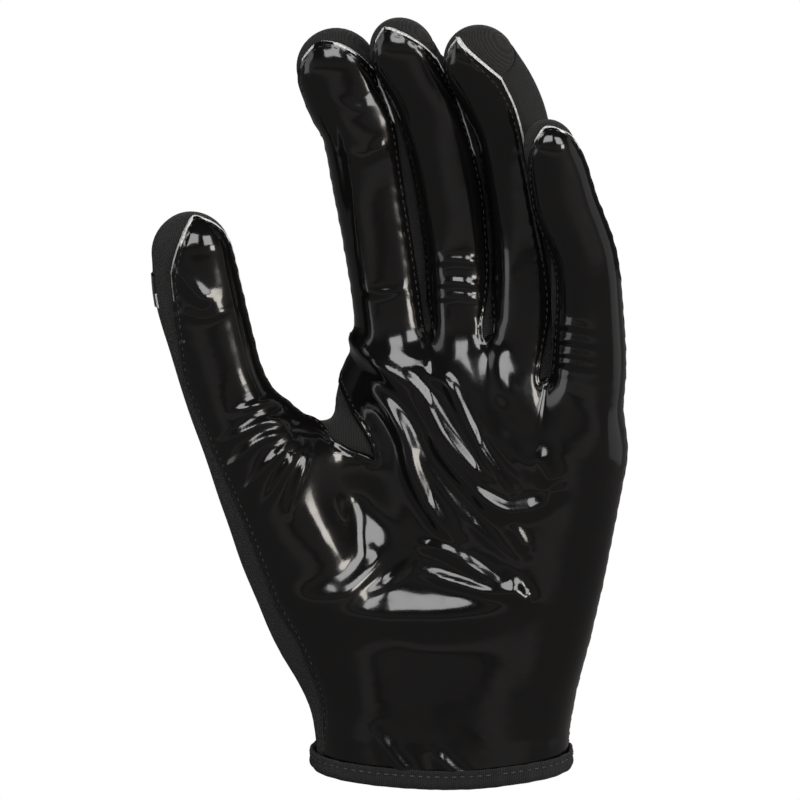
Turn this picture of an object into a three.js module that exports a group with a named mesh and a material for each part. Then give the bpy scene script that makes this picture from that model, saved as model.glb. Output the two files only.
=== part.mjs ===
// A left-hand receiver glove, held up as if a hand filled it: palm towards -Y, fingers along +Z,
// thumb towards -X, with the origin in the middle of the wrist opening.
import * as THREE from 'three';

// Driving sizes in millimetres
const gloveLength = 243;
const palmWidth = 88;
const handDepth = 38;
const fingerWidth = 22;
const fingerDepth = 20;
const thumbWidth = 26;
const thumbDepth = 22;
const webHeight = 20;
const webThickness = 15;
const panelWall = 1.2;
const fabricWall = 1.0;
const patchWall = 0.8;
const tapeHeight = 4.4;
const hemDip = 1.8;
const tapeWall = 1.1;
const seamGap = 0.6;
const layerGap = 0.5;

// How softly two forms run into each other, in millimetres
const fingerBlend = 7;
const thumbBlend = 12;
const webBlend = 12;
const valleyBlend = 1.5;

// Rows and columns of cells along and across the pieces
const palmRows = 22;
const slitRow = 15;
const webRow = 18;
const fingerRows = 13;
const fingerColumns = 5;
const thumbColumns = 7;
const tipRows = 4;
const tapeColumns = 48;

const degrees = Math.PI / 180;

function table(columns, rows) {
  return rows.map((row) => Object.fromEntries(columns.map((name, k) => [name, row[k]])));
}

// Sections of the hand. rise is a share of gloveLength, centre and half are shares of palmWidth,
// middle and deep are shares of handDepth, and tilt turns the section towards its little-finger side.
const handSections = table(['rise', 'centre', 'half', 'middle', 'deep', 'tilt'], [
  [-0.05, 0.0, 0.44, 0.0, 0.64, 0],
  [0.046, 0.004, 0.436, 0.007, 0.625, 0],
  [0.098, 0.021, 0.443, 0.007, 0.599, -0.02],
  [0.163, 0.057, 0.461, 0.0, 0.553, -0.05],
  [0.241, 0.092, 0.475, -0.013, 0.513, -0.08],
  [0.319, 0.122, 0.484, -0.02, 0.48, -0.11],
  [0.397, 0.14, 0.505, -0.02, 0.454, -0.13],
  [0.475, 0.144, 0.524, -0.013, 0.421, -0.15],
  [0.54, 0.152, 0.497, -0.01, 0.4, -0.16],
  [0.64, 0.156, 0.461, -0.007, 0.375, -0.16],
]);
const handRoundness = 2.4;

// The knuckle line, where the hand ends and the fingers stand out of it
const knuckleLine = table(['side', 'rise'], [
  [-0.35, 0.553],
  [-0.05, 0.555],
  [0.15, 0.555],
  [0.34, 0.5],
  [0.6, 0.46],
]);
const knuckleRounding = 16;

// Digits. side is a share of palmWidth, rise of gloveLength, depth of handDepth, and width and
// thick are shares of the digit's own width and depth.
const spineColumns = ['side', 'rise', 'depth', 'width', 'thick'];
const digits = [
  {
    name: 'thumb', width: thumbWidth, thick: thumbDepth, blend: thumbBlend, tip: 0.5,
    rows: table(spineColumns, [
      [-0.19, 0.02, 0.05, 1.3, 1.5],
      [-0.25, 0.1, 0.02, 1.48, 1.58],
      [-0.366, 0.182, -0.08, 1.58, 1.65],
      [-0.492, 0.28, -0.18, 1.5, 1.58],
      [-0.6, 0.364, -0.26, 1.3, 1.4],
      [-0.692, 0.436, -0.32, 1.12, 1.22],
      [-0.77, 0.501, -0.34, 1.0, 1.1],
      [-0.815, 0.559, -0.37, 1.01, 1.05],
      [-0.856, 0.618, -0.39, 1.04, 1.02],
      [-0.878, 0.674, -0.42, 0.97, 0.94],
    ]),
    left: [-58, -50, -40, -33, -32], right: [95], backLeft: [-58, -50, -40, -33, -32], backRight: [95],
    reach: 0.78, corner: 0.16,
  },
  {
    name: 'index', width: fingerWidth, thick: fingerDepth, blend: fingerBlend, tip: 0.57,
    rows: table(spineColumns, [
      [-0.121, 0.436, 0.0, 1.15, 1.3],
      [-0.149, 0.52, 0.03, 1.13, 1.22],
      [-0.181, 0.605, 0.05, 1.06, 1.1],
      [-0.209, 0.676, 0.05, 1.08, 1.08],
      [-0.245, 0.754, 0.03, 1.11, 1.06],
      [-0.28, 0.826, -0.04, 1.13, 1.02],
      [-0.33, 0.865, -0.06, 1.16, 0.97],
      [-0.371, 0.904, -0.1, 1.15, 0.9],
    ]),
    left: [-95], right: [62, 54, 53, 54, 64], backLeft: [-95], backRight: [122],
    reach: 0.66, corner: 0.2,
  },
  {
    name: 'middle', width: fingerWidth, thick: fingerDepth, blend: fingerBlend, tip: 0.54,
    rows: table(spineColumns, [
      [0.071, 0.436, -0.05, 1.09, 1.35],
      [0.076, 0.52, -0.03, 1.0, 1.24],
      [0.067, 0.605, -0.03, 0.93, 1.1],
      [0.056, 0.676, -0.03, 0.91, 1.05],
      [0.03, 0.754, -0.08, 0.92, 1.03],
      [-0.02, 0.832, -0.15, 0.93, 0.99],
      [-0.068, 0.878, -0.23, 0.92, 0.95],
      [-0.138, 0.925, -0.32, 0.93, 0.88],
    ]),
    left: [-92], right: [66, 66, 70, 60, 58], backLeft: [-135], backRight: [122],
    reach: 0.82, corner: 0.2,
  },
  {
    name: 'ring', width: fingerWidth, thick: fingerDepth, blend: fingerBlend, tip: 0.56,
    rows: table(spineColumns, [
      [0.25, 0.436, -0.14, 1.09, 1.35],
      [0.277, 0.52, -0.13, 1.0, 1.22],
      [0.297, 0.605, -0.12, 0.97, 1.08],
      [0.298, 0.676, -0.13, 0.96, 1.02],
      [0.28, 0.754, -0.18, 0.99, 1.0],
      [0.248, 0.826, -0.25, 1.04, 0.98],
      [0.2, 0.871, -0.36, 1.07, 0.95],
      [0.128, 0.916, -0.49, 1.03, 0.9],
    ]),
    left: [-98], right: [50, 46, 22, 12, 18], backLeft: [-138], backRight: [108],
    reach: 0.86, corner: 0.2,
  },
  {
    name: 'little', width: fingerWidth, thick: fingerDepth, blend: fingerBlend, tip: 0.44,
    rows: table(spineColumns, [
      [0.464, 0.423, -0.22, 1.2, 1.4],
      [0.508, 0.514, -0.28, 1.08, 1.26],
      [0.512, 0.598, -0.4, 0.94, 1.07],
      [0.493, 0.67, -0.5, 0.89, 0.98],
      [0.425, 0.735, -0.6, 0.9, 0.93],
      [0.394, 0.78, -0.67, 0.84, 0.87],
      [0.369, 0.81, -0.73, 0.75, 0.82],
    ]),
    left: [-78], right: [90, 98, 98], backLeft: [-125], backRight: [90, 98, 98],
    reach: 0.8, corner: 0.2,
  },
];

// The web between the thumb and the hand, built as a short flat digit that lies across
const web = {
  width: webHeight, thick: webThickness, tip: 0.4, closed: true,
  rows: table(spineColumns, [
    [-0.15, 0.39, 0.0, 1.0, 1.1],
    [-0.3, 0.405, -0.08, 1.0, 1.0],
    [-0.45, 0.41, -0.2, 1.0, 1.0],
    [-0.6, 0.42, -0.28, 1.0, 1.0],
  ]),
};

// Lines on the palm where one digit's share of the sheet meets the next one's, from the hem to the
// crotch of the two. side is a share of palmWidth and rise of gloveLength.
const lineColumns = ['side', 'rise'];
const palmLines = [
  table(lineColumns, [[-0.25, 0], [-0.273, 0.085], [-0.273, 0.241], [-0.245, 0.408]]),
  table(lineColumns, [[-0.106, 0], [-0.106, 0.098], [-0.06, 0.267], [-0.04, 0.427], [-0.05, 0.566]]),
  table(lineColumns, [[0.035, 0], [0.046, 0.098], [0.092, 0.267], [0.128, 0.427], [0.15, 0.56]]),
  table(lineColumns, [[0.206, 0], [0.241, 0.098], [0.305, 0.267], [0.34, 0.4], [0.345, 0.51]]),
];
const backDrop = 0.02;

// The thumb-side edge of the palm panel, where the back fabric comes round to the front
const thumbEdge = table(lineColumns, [
  [-0.42, 0], [-0.425, 0.04], [-0.433, 0.1], [-0.505, 0.17], [-0.578, 0.215],
  [-0.69, 0.325], [-0.765, 0.39], [-0.82, 0.435], [-0.895, 0.5],
]);

// Where the slit between thumb and index finger meets the thumb's and the hand's side at the web,
// and the line up the back to the web's middle
const webThumb = { side: -0.45, rise: 0.462, depth: -0.18 };
const webIndex = { side: -0.372, rise: 0.482, depth: -0.1 };
const backWebLine = table(lineColumns, [
  [-0.25, 0], [-0.273, 0.085], [-0.3, 0.241], [-0.35, 0.36], [-0.405, 0.43],
]);
const slitHalf = 0.016;
const lipSwell = 0.1;

// Folds pressed out of the palm. Each runs from one place to another on the palm, is wide across,
// and stands high, with side and width as shares of palmWidth, rise of gloveLength, high of handDepth.
const palmFolds = table(['side', 'rise', 'toSide', 'toRise', 'wide', 'high'], [
  [-0.22, 0.525, 0.02, 0.45, 0.036, 0.055],
  [0.02, 0.45, 0.2, 0.372, 0.034, 0.05],
  [-0.124, 0.486, 0.064, 0.399, 0.03, 0.045],
  [0.064, 0.399, 0.185, 0.352, 0.03, 0.04],
  [0.185, 0.352, 0.397, 0.37, 0.03, 0.045],
  [-0.043, 0.51, 0.089, 0.464, 0.026, 0.03],
  [0.089, 0.464, 0.25, 0.374, 0.026, 0.035],
  [-0.23, 0.484, -0.113, 0.414, 0.034, -0.05],
  [-0.113, 0.414, 0.05, 0.304, 0.036, -0.045],
  [-0.06, 0.3, 0.234, 0.242, 0.026, 0.035],
  [-0.05, 0.264, 0.234, 0.239, 0.026, 0.03],
]);

// Wrinkles that fan out of the web over the thumb's base, and bands across the little finger's base
const thumbFolds = table(['side', 'rise', 'toSide', 'toRise', 'wide', 'high'], [
  [-0.62, 0.5, -0.82, 0.46, 0.018, 0.026],
  [-0.61, 0.478, -0.78, 0.41, 0.018, 0.028],
  [-0.59, 0.458, -0.73, 0.37, 0.018, 0.028],
  [-0.56, 0.444, -0.66, 0.345, 0.018, 0.026],
  [0.39, 0.58, 0.52, 0.575, 0.014, 0.02],
  [0.385, 0.555, 0.52, 0.548, 0.014, 0.02],
]);

// Field of the whole form: below zero inside, about the distance in millimetres outside

function readRows(rows, key, at, names) {
  let k = 1;
  while (k < rows.length - 1 && rows[k][key] < at) k += 1;
  const low = rows[k - 1];
  const high = rows[k];
  const share = THREE.MathUtils.clamp((at - low[key]) / (high[key] - low[key]), 0, 1);
  return names.map((name) => THREE.MathUtils.lerp(low[name], high[name], share));
}

// Smooth union of two fields, rounded over the blend width
function union(a, b, blend) {
  const near = Math.max(blend - Math.abs(a - b), 0) / blend;
  return Math.min(a, b) - near * near * blend / 4;
}

// A digit's spine: the table's rows joined by a smooth curve and cut into short lengths
const spineCuts = 5;

function buildSpine(digit) {
  const places = digit.rows.map((row) => new THREE.Vector3(
    row.side * palmWidth, row.depth * handDepth, row.rise * gloveLength));
  const curve = new THREE.CatmullRomCurve3(places, false, 'catmullrom', 0.5);
  const sizes = new THREE.CatmullRomCurve3(digit.rows.map((row) => new THREE.Vector3(
    row.width * digit.width / 2, row.thick * digit.thick / 2, 0)), false, 'catmullrom', 0.5);
  const count = (digit.rows.length - 1) * spineCuts;
  const stations = [];
  let along = 0;
  for (let k = 0; k <= count; k += 1) {
    const centre = curve.getPoint(k / count);
    const size = sizes.getPoint(k / count);
    const way = curve.getTangent(k / count);
    if (k > 0) along += centre.distanceTo(stations[k - 1].centre);
    stations.push({ centre, way, half: size.x, deep: size.y, along });
  }
  digit.stations = stations;
  digit.length = along;
  digit.dome = digit.tip * digit.width;
  digit.domeArc = (digit.dome + stations[count].deep) / 2 * Math.PI / 2;
}
[...digits, web].forEach(buildSpine);

// The frame of a digit at a length along its spine: centre, half sizes, front, right and way up
function stationAt(digit, along) {
  const list = digit.stations;
  let k = 1;
  while (k < list.length - 1 && list[k].along < along) k += 1;
  const low = list[k - 1];
  const high = list[k];
  const share = THREE.MathUtils.clamp((along - low.along) / (high.along - low.along), 0, 1);
  return frameBetween(low, high, share);
}

function frameBetween(low, high, share) {
  const centre = low.centre.clone().lerp(high.centre, share);
  const way = low.way.clone().lerp(high.way, share).normalize();
  const front = new THREE.Vector3(0, -1, 0).addScaledVector(way, way.y).normalize();
  const right = way.clone().cross(front);
  const half = THREE.MathUtils.lerp(low.half, high.half, share);
  const deep = THREE.MathUtils.lerp(low.deep, high.deep, share);
  return { centre, way, front, right, half, deep };
}

// Distance to a digit: its nearest section is an ellipse, and past its end it is half an ellipsoid
function digitField(digit, point) {
  const list = digit.stations;
  let best = Infinity;
  let at = 1;
  let share = 0;
  for (let k = 1; k < list.length; k += 1) {
    const a = list[k - 1].centre;
    const b = list[k].centre;
    const dx = b.x - a.x;
    const dy = b.y - a.y;
    const dz = b.z - a.z;
    const t = ((point.x - a.x) * dx + (point.y - a.y) * dy + (point.z - a.z) * dz)
      / (dx * dx + dy * dy + dz * dz);
    const s = Math.min(Math.max(t, 0), 1);
    const ex = point.x - a.x - dx * s;
    const ey = point.y - a.y - dy * s;
    const ez = point.z - a.z - dz * s;
    const far = ex * ex + ey * ey + ez * ez;
    if (far < best) {
      best = far;
      at = k;
      share = s;
    }
  }
  const frame = frameBetween(list[at - 1], list[at], share);
  const off = point.clone().sub(frame.centre);
  const x = off.dot(frame.right) / frame.half;
  const y = off.dot(frame.front) / frame.deep;
  const past = (at === list.length - 1 && share === 1) || (digit.closed && at === 1 && share === 0);
  const z = past ? off.dot(frame.way) / digit.dome : 0;
  const radius = Math.hypot(x, y, z);
  const slope = Math.hypot(x / frame.half, y / frame.deep, z / digit.dome) / Math.max(radius, 1e-6);
  return (radius - 1) / Math.max(slope, 1 / digit.width);
}

// Distance to the hand with its web
function handField(point) {
  return union(blockField(point), digitField(web, point), webBlend);
}

// Distance to the hand alone: rounded-oblong sections that end at the knuckle line
function blockField(point) {
  const names = ['centre', 'half', 'middle', 'deep', 'tilt'];
  const [centre, half, middle, deep, tilt] = readRows(handSections, 'rise', point.z / gloveLength, names);
  const across = point.x - centre * palmWidth;
  const x = Math.abs(across) / (half * palmWidth);
  const y = Math.abs(point.y - middle * handDepth - tilt * across) / (deep * handDepth);
  const n = handRoundness;
  const radius = Math.max((x ** n + y ** n) ** (1 / n), 1e-3);
  const slope = Math.hypot(x ** (n - 1) / (half * palmWidth), y ** (n - 1) / (deep * handDepth))
    * radius ** (1 - n);
  const wall = (radius - 1) / Math.max(slope, 1 / palmWidth);
  const [rise] = readRows(knuckleLine, 'side', point.x / palmWidth, ['rise']);
  const top = point.z - rise * gloveLength;
  return -union(-wall, -top, knuckleRounding);
}

// The hand with one digit, or with all of them
function digitForm(digit, point) {
  return union(handField(point), digitField(digit, point), digit.blend);
}

function wholeForm(point) {
  const hand = handField(point);
  const thumb = digitField(digits[0], point);
  let fingers = Infinity;
  for (const digit of digits.slice(1)) fingers = union(fingers, digitField(digit, point), valleyBlend);
  return union(union(hand, thumb, thumbBlend), fingers, fingerBlend);
}

function normalOf(form, point) {
  const step = 0.05;
  const sense = ['x', 'y', 'z'].map((axis) => {
    const ahead = point.clone();
    const behind = point.clone();
    ahead[axis] += step;
    behind[axis] -= step;
    return form(ahead) - form(behind);
  });
  return new THREE.Vector3(...sense).normalize();
}

// A place on the form's surface, with its outward normal
function settle(form, point) {
  return { point, normal: normalOf(form, point) };
}

// From inside, out along a ray to the surface
function castOut(form, origin, way) {
  const stride = 1;
  let inner = 0;
  let outer = stride;
  while (outer < palmWidth && form(origin.clone().addScaledVector(way, outer)) < 0) {
    inner = outer;
    outer += stride;
  }
  return settle(form, halve(form, origin, way, inner, outer));
}

// From outside, in along a ray to the surface
function castIn(form, origin, way) {
  const stride = 1;
  let outer = handDepth;
  while (outer > 0 && form(origin.clone().addScaledVector(way, outer - stride)) > 0) outer -= stride;
  if (outer <= 0) return drop(form, origin);
  return settle(form, halve(form, origin, way, outer - stride, outer));
}

function halve(form, origin, way, inner, outer) {
  let low = inner;
  let high = outer;
  for (let k = 0; k < 24; k += 1) {
    const half = (low + high) / 2;
    if (form(origin.clone().addScaledVector(way, half)) < 0) low = half;
    else high = half;
  }
  return origin.clone().addScaledVector(way, (low + high) / 2);
}

// Nearest surface place, by steps along the field's slope
const dropSteps = 8;
const dropShare = 0.8;

function drop(form, start) {
  const point = start.clone();
  for (let k = 0; k < dropSteps; k += 1) {
    const value = form(point);
    point.addScaledVector(normalOf(form, point), -value * dropShare);
  }
  return settle(form, point);
}

// Places on the hand, cast from the front or the back

// A spot along a line of the palm, by its share of the line's length
function alongLine(line, share) {
  const places = line.map((row) => new THREE.Vector2(row.side * palmWidth, row.rise * gloveLength));
  const steps = places.slice(1).map((place, k) => place.distanceTo(places[k]));
  let left = share * steps.reduce((sum, step) => sum + step, 0);
  let k = 0;
  while (k < steps.length - 1 && left > steps[k]) {
    left -= steps[k];
    k += 1;
  }
  return places[k].clone().lerp(places[k + 1], Math.min(left / steps[k], 1));
}

// The hand's middle layer at a place, from which rays are cast
function middleDepth(x, z) {
  const names = ['centre', 'middle', 'tilt'];
  const [centre, middle, tilt] = readRows(handSections, 'rise', z / gloveLength, names);
  return middle * handDepth + tilt * (x - centre * palmWidth);
}

function turned(angle) {
  return new THREE.Vector3(Math.sin(angle * degrees), -Math.cos(angle * degrees), 0);
}

// A value out of a list that is spread evenly from the base of a digit to its tip
function readList(list, share) {
  if (list.length === 1) return list[0];
  const place = Math.min(share * (list.length - 1), list.length - 1.001);
  const k = Math.floor(place);
  return mix(list[k], list[k + 1], place - k);
}

function mix(a, b, share) {
  return a + (b - a) * share;
}

// A row across the hand between two ends, each an inner place and the angle its ray leaves at
function handRow(form, left, right, columns) {
  const row = [];
  for (let k = 0; k <= columns; k += 1) {
    const share = k / columns;
    const moved = Math.max(share - (left.stay ?? 0), 0) / (1 - (left.stay ?? 0));
    const x = mix(left.x, right.x, moved);
    const z = mix(left.z, right.z, share);
    const y = mix(left.y, right.y, moved);
    const angle = mix(left.angle, right.angle, Math.min(share / (left.settle ?? 1), 1) ** (left.bend ?? 1));
    row.push(castIn(form, new THREE.Vector3(x, y, z), turned(angle)));
  }
  return row;
}

// The end of a row that lies on a line of the palm, seen straight from the front or the back
function lineEnd(line, share, angle, drop) {
  const place = alongLine(line, share);
  const z = place.y - drop * gloveLength * share * share * share;
  return { x: place.x, y: middleDepth(place.x, z), z, angle };
}

// A place on a digit's skin, by its length along the spine and its angle from the front
function digitPlace(form, digit, along, angle) {
  const frame = stationAt(digit, Math.min(along, digit.length));
  const lift = Math.max(along - digit.length, 0) / digit.domeArc * Math.PI / 2;
  const way = new THREE.Vector3()
    .addScaledVector(frame.right, frame.half * Math.sin(angle * degrees) * Math.cos(lift))
    .addScaledVector(frame.front, frame.deep * Math.cos(angle * degrees) * Math.cos(lift))
    .addScaledVector(frame.way, digit.dome * Math.sin(lift));
  return castOut(form, frame.centre, way.normalize());
}

// Length along a digit's spine and angle from its front, of a place near it
const readingSteps = 400;

function digitReading(digit, point) {
  let best = Infinity;
  let along = 0;
  for (let k = 0; k <= readingSteps; k += 1) {
    const at = digit.length * k / readingSteps;
    const far = stationAt(digit, at).centre.distanceTo(point);
    if (far < best) {
      best = far;
      along = at;
    }
  }
  const frame = stationAt(digit, along);
  const off = point.clone().sub(frame.centre);
  const angle = Math.atan2(off.dot(frame.right) / frame.half, off.dot(frame.front) / frame.deep) / degrees;
  return { along, angle };
}

// The rows of a digit above its base row. Their lengths run from the base row to the end curve. The
// edges' angles turn quickly from the base row's to the digit's own, and what lies between slowly
// evens out.
const edgeTurn = 0.25;
const evenTurn = 0.7;
const baseCrowding = 1.25;

function digitGrid(digit, base, leftAngles, rightAngles, endAlong, around) {
  const form = (point) => digitForm(digit, point);
  const columns = base.length - 1;
  const starts = base.map((place) => digitReading(digit, place.point));
  if (around) starts.forEach((start) => { start.angle -= start.angle > 0 ? 360 : 0; });
  const first = starts[0].angle;
  const final = starts[columns].angle;
  const rows = [base];
  for (let j = 1; j <= fingerRows; j += 1) {
    const share = (j / fingerRows) ** baseCrowding;
    const turn = THREE.MathUtils.smoothstep(share, 0, edgeTurn);
    const even = THREE.MathUtils.smoothstep(share, 0, evenTurn);
    const left = mix(first, readList(leftAngles, share), turn);
    const right = mix(final, readList(rightAngles, share), turn);
    const row = [];
    for (let k = 0; k <= columns; k += 1) {
      const along = mix(starts[k].along, endAlong(k / columns), share);
      const across = mix((starts[k].angle - first) / (final - first), k / columns, even);
      row.push(digitPlace(form, digit, along, mix(left, right, across)));
    }
    rows.push(row);
  }
  return rows;
}

// A digit's spine at a height
function spineAtRise(digit, z) {
  const list = digit.stations;
  let k = 1;
  while (k < list.length - 1 && list[k].centre.z < z) k += 1;
  const low = list[k - 1].centre;
  const high = list[k].centre;
  return low.clone().lerp(high, THREE.MathUtils.clamp((z - low.z) / (high.z - low.z), 0, 1));
}

// The palm panel's rows, digit by digit

const whole = (point) => wholeForm(point);
const thumb = digits[0];

// The arch in which a panel ends below the tip, from a low corner at each side to the top
const archFullness = 2.2;

function archEnd(digit) {
  const low = digit.length - digit.corner * digit.width;
  const high = digit.length + digit.reach * digit.domeArc;
  return (share) => mix(low, high, (1 - Math.abs(2 * share - 1) ** archFullness));
}

// How far inside the hand's side edge a row's end ray starts, as a share of palmWidth
const insideEdge = 0.15;

// The end of a row on the hand's own side edge, at a rise, with the ray's angle there
function sideEnd(side, rise, angle) {
  const [centre, half] = readRows(handSections, 'rise', rise, ['centre', 'half']);
  const x = (centre + side * (half - insideEdge)) * palmWidth;
  const z = rise * gloveLength;
  return { x, y: middleDepth(x, z), z, angle };
}

// Where the hand's side edges give over to the little and the index finger, and the angles from the
// front at which the palm panel ends there
const littleEdgeRise = 0.53;
const indexEdgeRise = 0.565;
const edgeAngle = 95;
const littleEdgeAngle = 72;
const littleBend = 1.6;

// Rows of both lips of the slit, from its end to the web, a little apart from its first row on
const slitEnd = castIn(whole, endOrigin(lineEnd(palmLines[0], 1, 0, 0)), turned(0));

function lipRow(target, j, way) {
  const { side, depth, rise } = target;
  const goal = new THREE.Vector3(side * palmWidth, depth * handDepth, rise * gloveLength);
  const share = (j - slitRow) / (webRow - slitRow);
  const place = slitEnd.point.clone().lerp(drop(whole, goal).point, share);
  place.x += way * slitHalf * palmWidth;
  place.y -= lipSwell * handDepth * Math.sin(Math.PI * share);
  return drop(whole, place);
}

function endOrigin(end) {
  return new THREE.Vector3(end.x, end.y, end.z);
}

// A row between two known places, bulged towards one side of the hand and dropped onto the form
const rowBulge = 0.35;

function spanRow(left, right, columns, side) {
  const row = [];
  const bulge = side * left.point.distanceTo(right.point) * rowBulge;
  for (let k = 0; k <= columns; k += 1) {
    const seed = left.point.clone().lerp(right.point, k / columns);
    seed.y += bulge * Math.sin(Math.PI * k / columns);
    row.push(drop(whole, seed));
  }
  row[0] = left;
  row[columns] = right;
  return row;
}

function frontIndexLeft(j) {
  if (j <= slitRow) return lineEnd(palmLines[0], j / slitRow, 0, 0);
  const up = (j - webRow) / (palmRows - webRow);
  return sideEnd(-1, mix(webIndex.rise, indexEdgeRise, up), -edgeAngle);
}

function frontLittleRight(j) {
  return sideEnd(1, littleEdgeRise * j / palmRows, mix(edgeAngle, littleEdgeAngle, j / palmRows));
}

function copyColumn(rows, index, places) {
  places.forEach((place, j) => { rows[j][index] = place; });
}

function column(rows, index) {
  return rows.map((row) => row[index]);
}

const last = fingerColumns;

// Front rows of the four fingers, hem to tip. Neighbours share the column between them.
const fronts = [];
for (let i = 1; i <= 4; i += 1) {
  const digit = digits[i];
  const rows = [];
  for (let j = 0; j <= palmRows; j += 1) {
    const share = j / palmRows;
    const left = i === 1 ? frontIndexLeft(j) : lineEnd(palmLines[i - 1], share, 0, 0);
    const right = i === 4 ? frontLittleRight(j) : lineEnd(palmLines[i], share, 0, 0);
    if (i === 4) left.bend = littleBend;
    if (i === 1 && j > slitRow && j <= webRow) {
      const end = handRow(whole, right, right, 1)[1];
      rows.push(spanRow(lipRow(webIndex, j, 1), end, fingerColumns, -1));
    } else {
      rows.push(handRow(whole, left, right, fingerColumns));
    }
  }
  if (i > 1) copyColumn(rows, 0, column(fronts[i - 1].palm, last));
  const grid = digitGrid(digit, rows[palmRows], digit.left, digit.right, archEnd(digit), false);
  fronts[i] = { palm: rows, digit: grid };
}

// The thumb's front rows: up the palm to the web, then on along the thumb
function buildThumbFront() {
  const rows = [];
  for (let j = 0; j <= webRow; j += 1) {
    const left = lineEnd(thumbEdge, j / webRow, 0, 0);
    if (j <= slitRow) {
      rows.push(handRow(whole, left, lineEnd(palmLines[0], j / slitRow, 0, 0), thumbColumns));
    } else {
      const start = handRow(whole, left, left, 1)[0];
      rows.push(spanRow(start, lipRow(webThumb, j, -1), thumbColumns, -1));
    }
  }
  const shared = column(fronts[1].palm, 0).slice(0, slitRow + 1);
  copyColumn(rows, thumbColumns, shared);
  const grid = digitGrid(thumb, rows[webRow], thumb.left, thumb.right, archEnd(thumb), false);
  return { palm: rows, digit: grid };
}
fronts[0] = buildThumbFront();

// The back panel's rows. Where no side strip lies between, they share the palm panel's edge.

function backLine(i, j) {
  if (i === 0) return lineEnd(backWebLine, j / (webRow - 1), -180, 0);
  return lineEnd(palmLines[i], j / palmRows, -180, backDrop);
}

// The back's rows over the tip: arcs from the back of the digit over the top to the panel's end
function tipGrid(digit, backRow, frontRow) {
  const form = (point) => digitForm(digit, point);
  const origin = stationAt(digit, digit.length).centre;
  const rows = [backRow];
  for (let j = 1; j <= tipRows; j += 1) {
    const row = backRow.map((place, k) => {
      const end = frontRow[k];
      if (j === tipRows || place === end) return end;
      const from = place.point.clone().sub(origin).normalize();
      const to = end.point.clone().sub(origin).normalize();
      const angle = from.angleTo(to);
      const share = j / tipRows;
      const way = from.multiplyScalar(Math.sin((1 - share) * angle))
        .addScaledVector(to, Math.sin(share * angle)).normalize();
      return castOut(form, origin, way);
    });
    rows.push(row);
  }
  return rows;
}

function endBehind(end) {
  return { ...end, angle: end.angle - 360 };
}

const backs = [];
for (let i = 1; i <= 4; i += 1) {
  const digit = digits[i];
  const rows = [];
  for (let j = 0; j <= palmRows; j += 1) {
    const left = i === 1 && j >= webRow ? frontIndexLeft(j) : backLine(i - 1, j);
    const right = i === 4 ? endBehind(frontLittleRight(j)) : backLine(i, j);
    if (i === 4) left.bend = littleBend;
    rows.push(handRow(whole, left, right, fingerColumns));
  }
  if (i > 1) copyColumn(rows, 0, column(backs[i - 1].palm, last));
  if (i === 1) {
    for (let j = webRow; j <= palmRows; j += 1) rows[j][0] = fronts[1].palm[j][0];
  }
  if (i === 4) copyColumn(rows, last, column(fronts[4].palm, last));
  const { backLeft, backRight } = digit;
  const grid = digitGrid(digit, rows[palmRows], backLeft, backRight.map((angle) => angle - 360),
    () => digit.length, true);
  if (i === 1) copyColumn(grid, 0, column(fronts[1].digit, 0));
  if (i === 4) copyColumn(grid, last, column(fronts[4].digit, last));
  const tip = tipGrid(digit, grid[fingerRows], fronts[i].digit[fingerRows]);
  backs[i] = { palm: rows, digit: grid, tip };
}

// How long a row of the thumb's back keeps its first angle, and where along it it has settled
const edgeStay = 0.25;
const edgeSettle = 0.6;

function buildThumbBack() {
  const rows = [];
  const lip = fronts[0].palm[webRow][thumbColumns].point;
  const lipEnd = { x: lip.x, y: middleDepth(lip.x, lip.z), z: lip.z, angle: -180 };
  for (let j = 0; j <= webRow; j += 1) {
    const edge = fronts[0].palm[j][0].point;
    const inner = spineAtRise(thumb, edge.z);
    const angle = Math.atan2(edge.x - inner.x, inner.y - edge.y) / degrees;
    const left = { x: inner.x, y: inner.y, z: edge.z, angle, stay: edgeStay, settle: edgeSettle };
    rows.push(handRow(whole, left, j < webRow ? backLine(0, j) : lipEnd, thumbColumns));
  }
  copyColumn(rows, 0, column(fronts[0].palm, 0));
  for (let j = 0; j < webRow; j += 1) rows[j][thumbColumns] = backs[1].palm[j][0];
  rows[webRow][thumbColumns] = fronts[0].palm[webRow][thumbColumns];
  const { backLeft, backRight } = thumb;
  const grid = digitGrid(thumb, rows[webRow], backLeft, backRight.map((angle) => angle - 360),
    () => thumb.length, true);
  copyColumn(grid, 0, column(fronts[0].digit, 0));
  copyColumn(grid, thumbColumns, column(fronts[0].digit, thumbColumns));
  const tip = tipGrid(thumb, grid[fingerRows], fronts[0].digit[fingerRows]);
  return { palm: rows, digit: grid, tip };
}
backs[0] = buildThumbBack();

// A side strip: down one finger's side, through the crotch and up the next one's
function stripGrid(i) {
  const sideRows = (number, index) => {
    const digit = digits[number];
    const form = (point) => digitForm(digit, point);
    const rows = [];
    for (let j = 0; j <= fingerRows; j += 1) {
      const front = fronts[number].digit[j][index];
      const back = backs[number].digit[j][index];
      const used = j === 0 ? whole : form;
      const row = [];
      for (let k = 0; k <= tipRows; k += 1) {
        const share = k / tipRows;
        if (k === 0) row.push(front);
        else if (k === tipRows) row.push(back);
        else if (j === fingerRows) row.push(backs[number].tip[tipRows - k][index]);
        else row.push(drop(used, front.point.clone().lerp(back.point, share)));
      }
      rows.push(row);
    }
    return rows;
  };
  const down = sideRows(i, last).reverse();
  const up = sideRows(i + 1, 0);
  return [...down, ...up.slice(1)];
}

// The gusset: from the slit's end up between its lips and over the web to the back
const gussetColumns = 4;
const gussetBeyond = 2;

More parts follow.
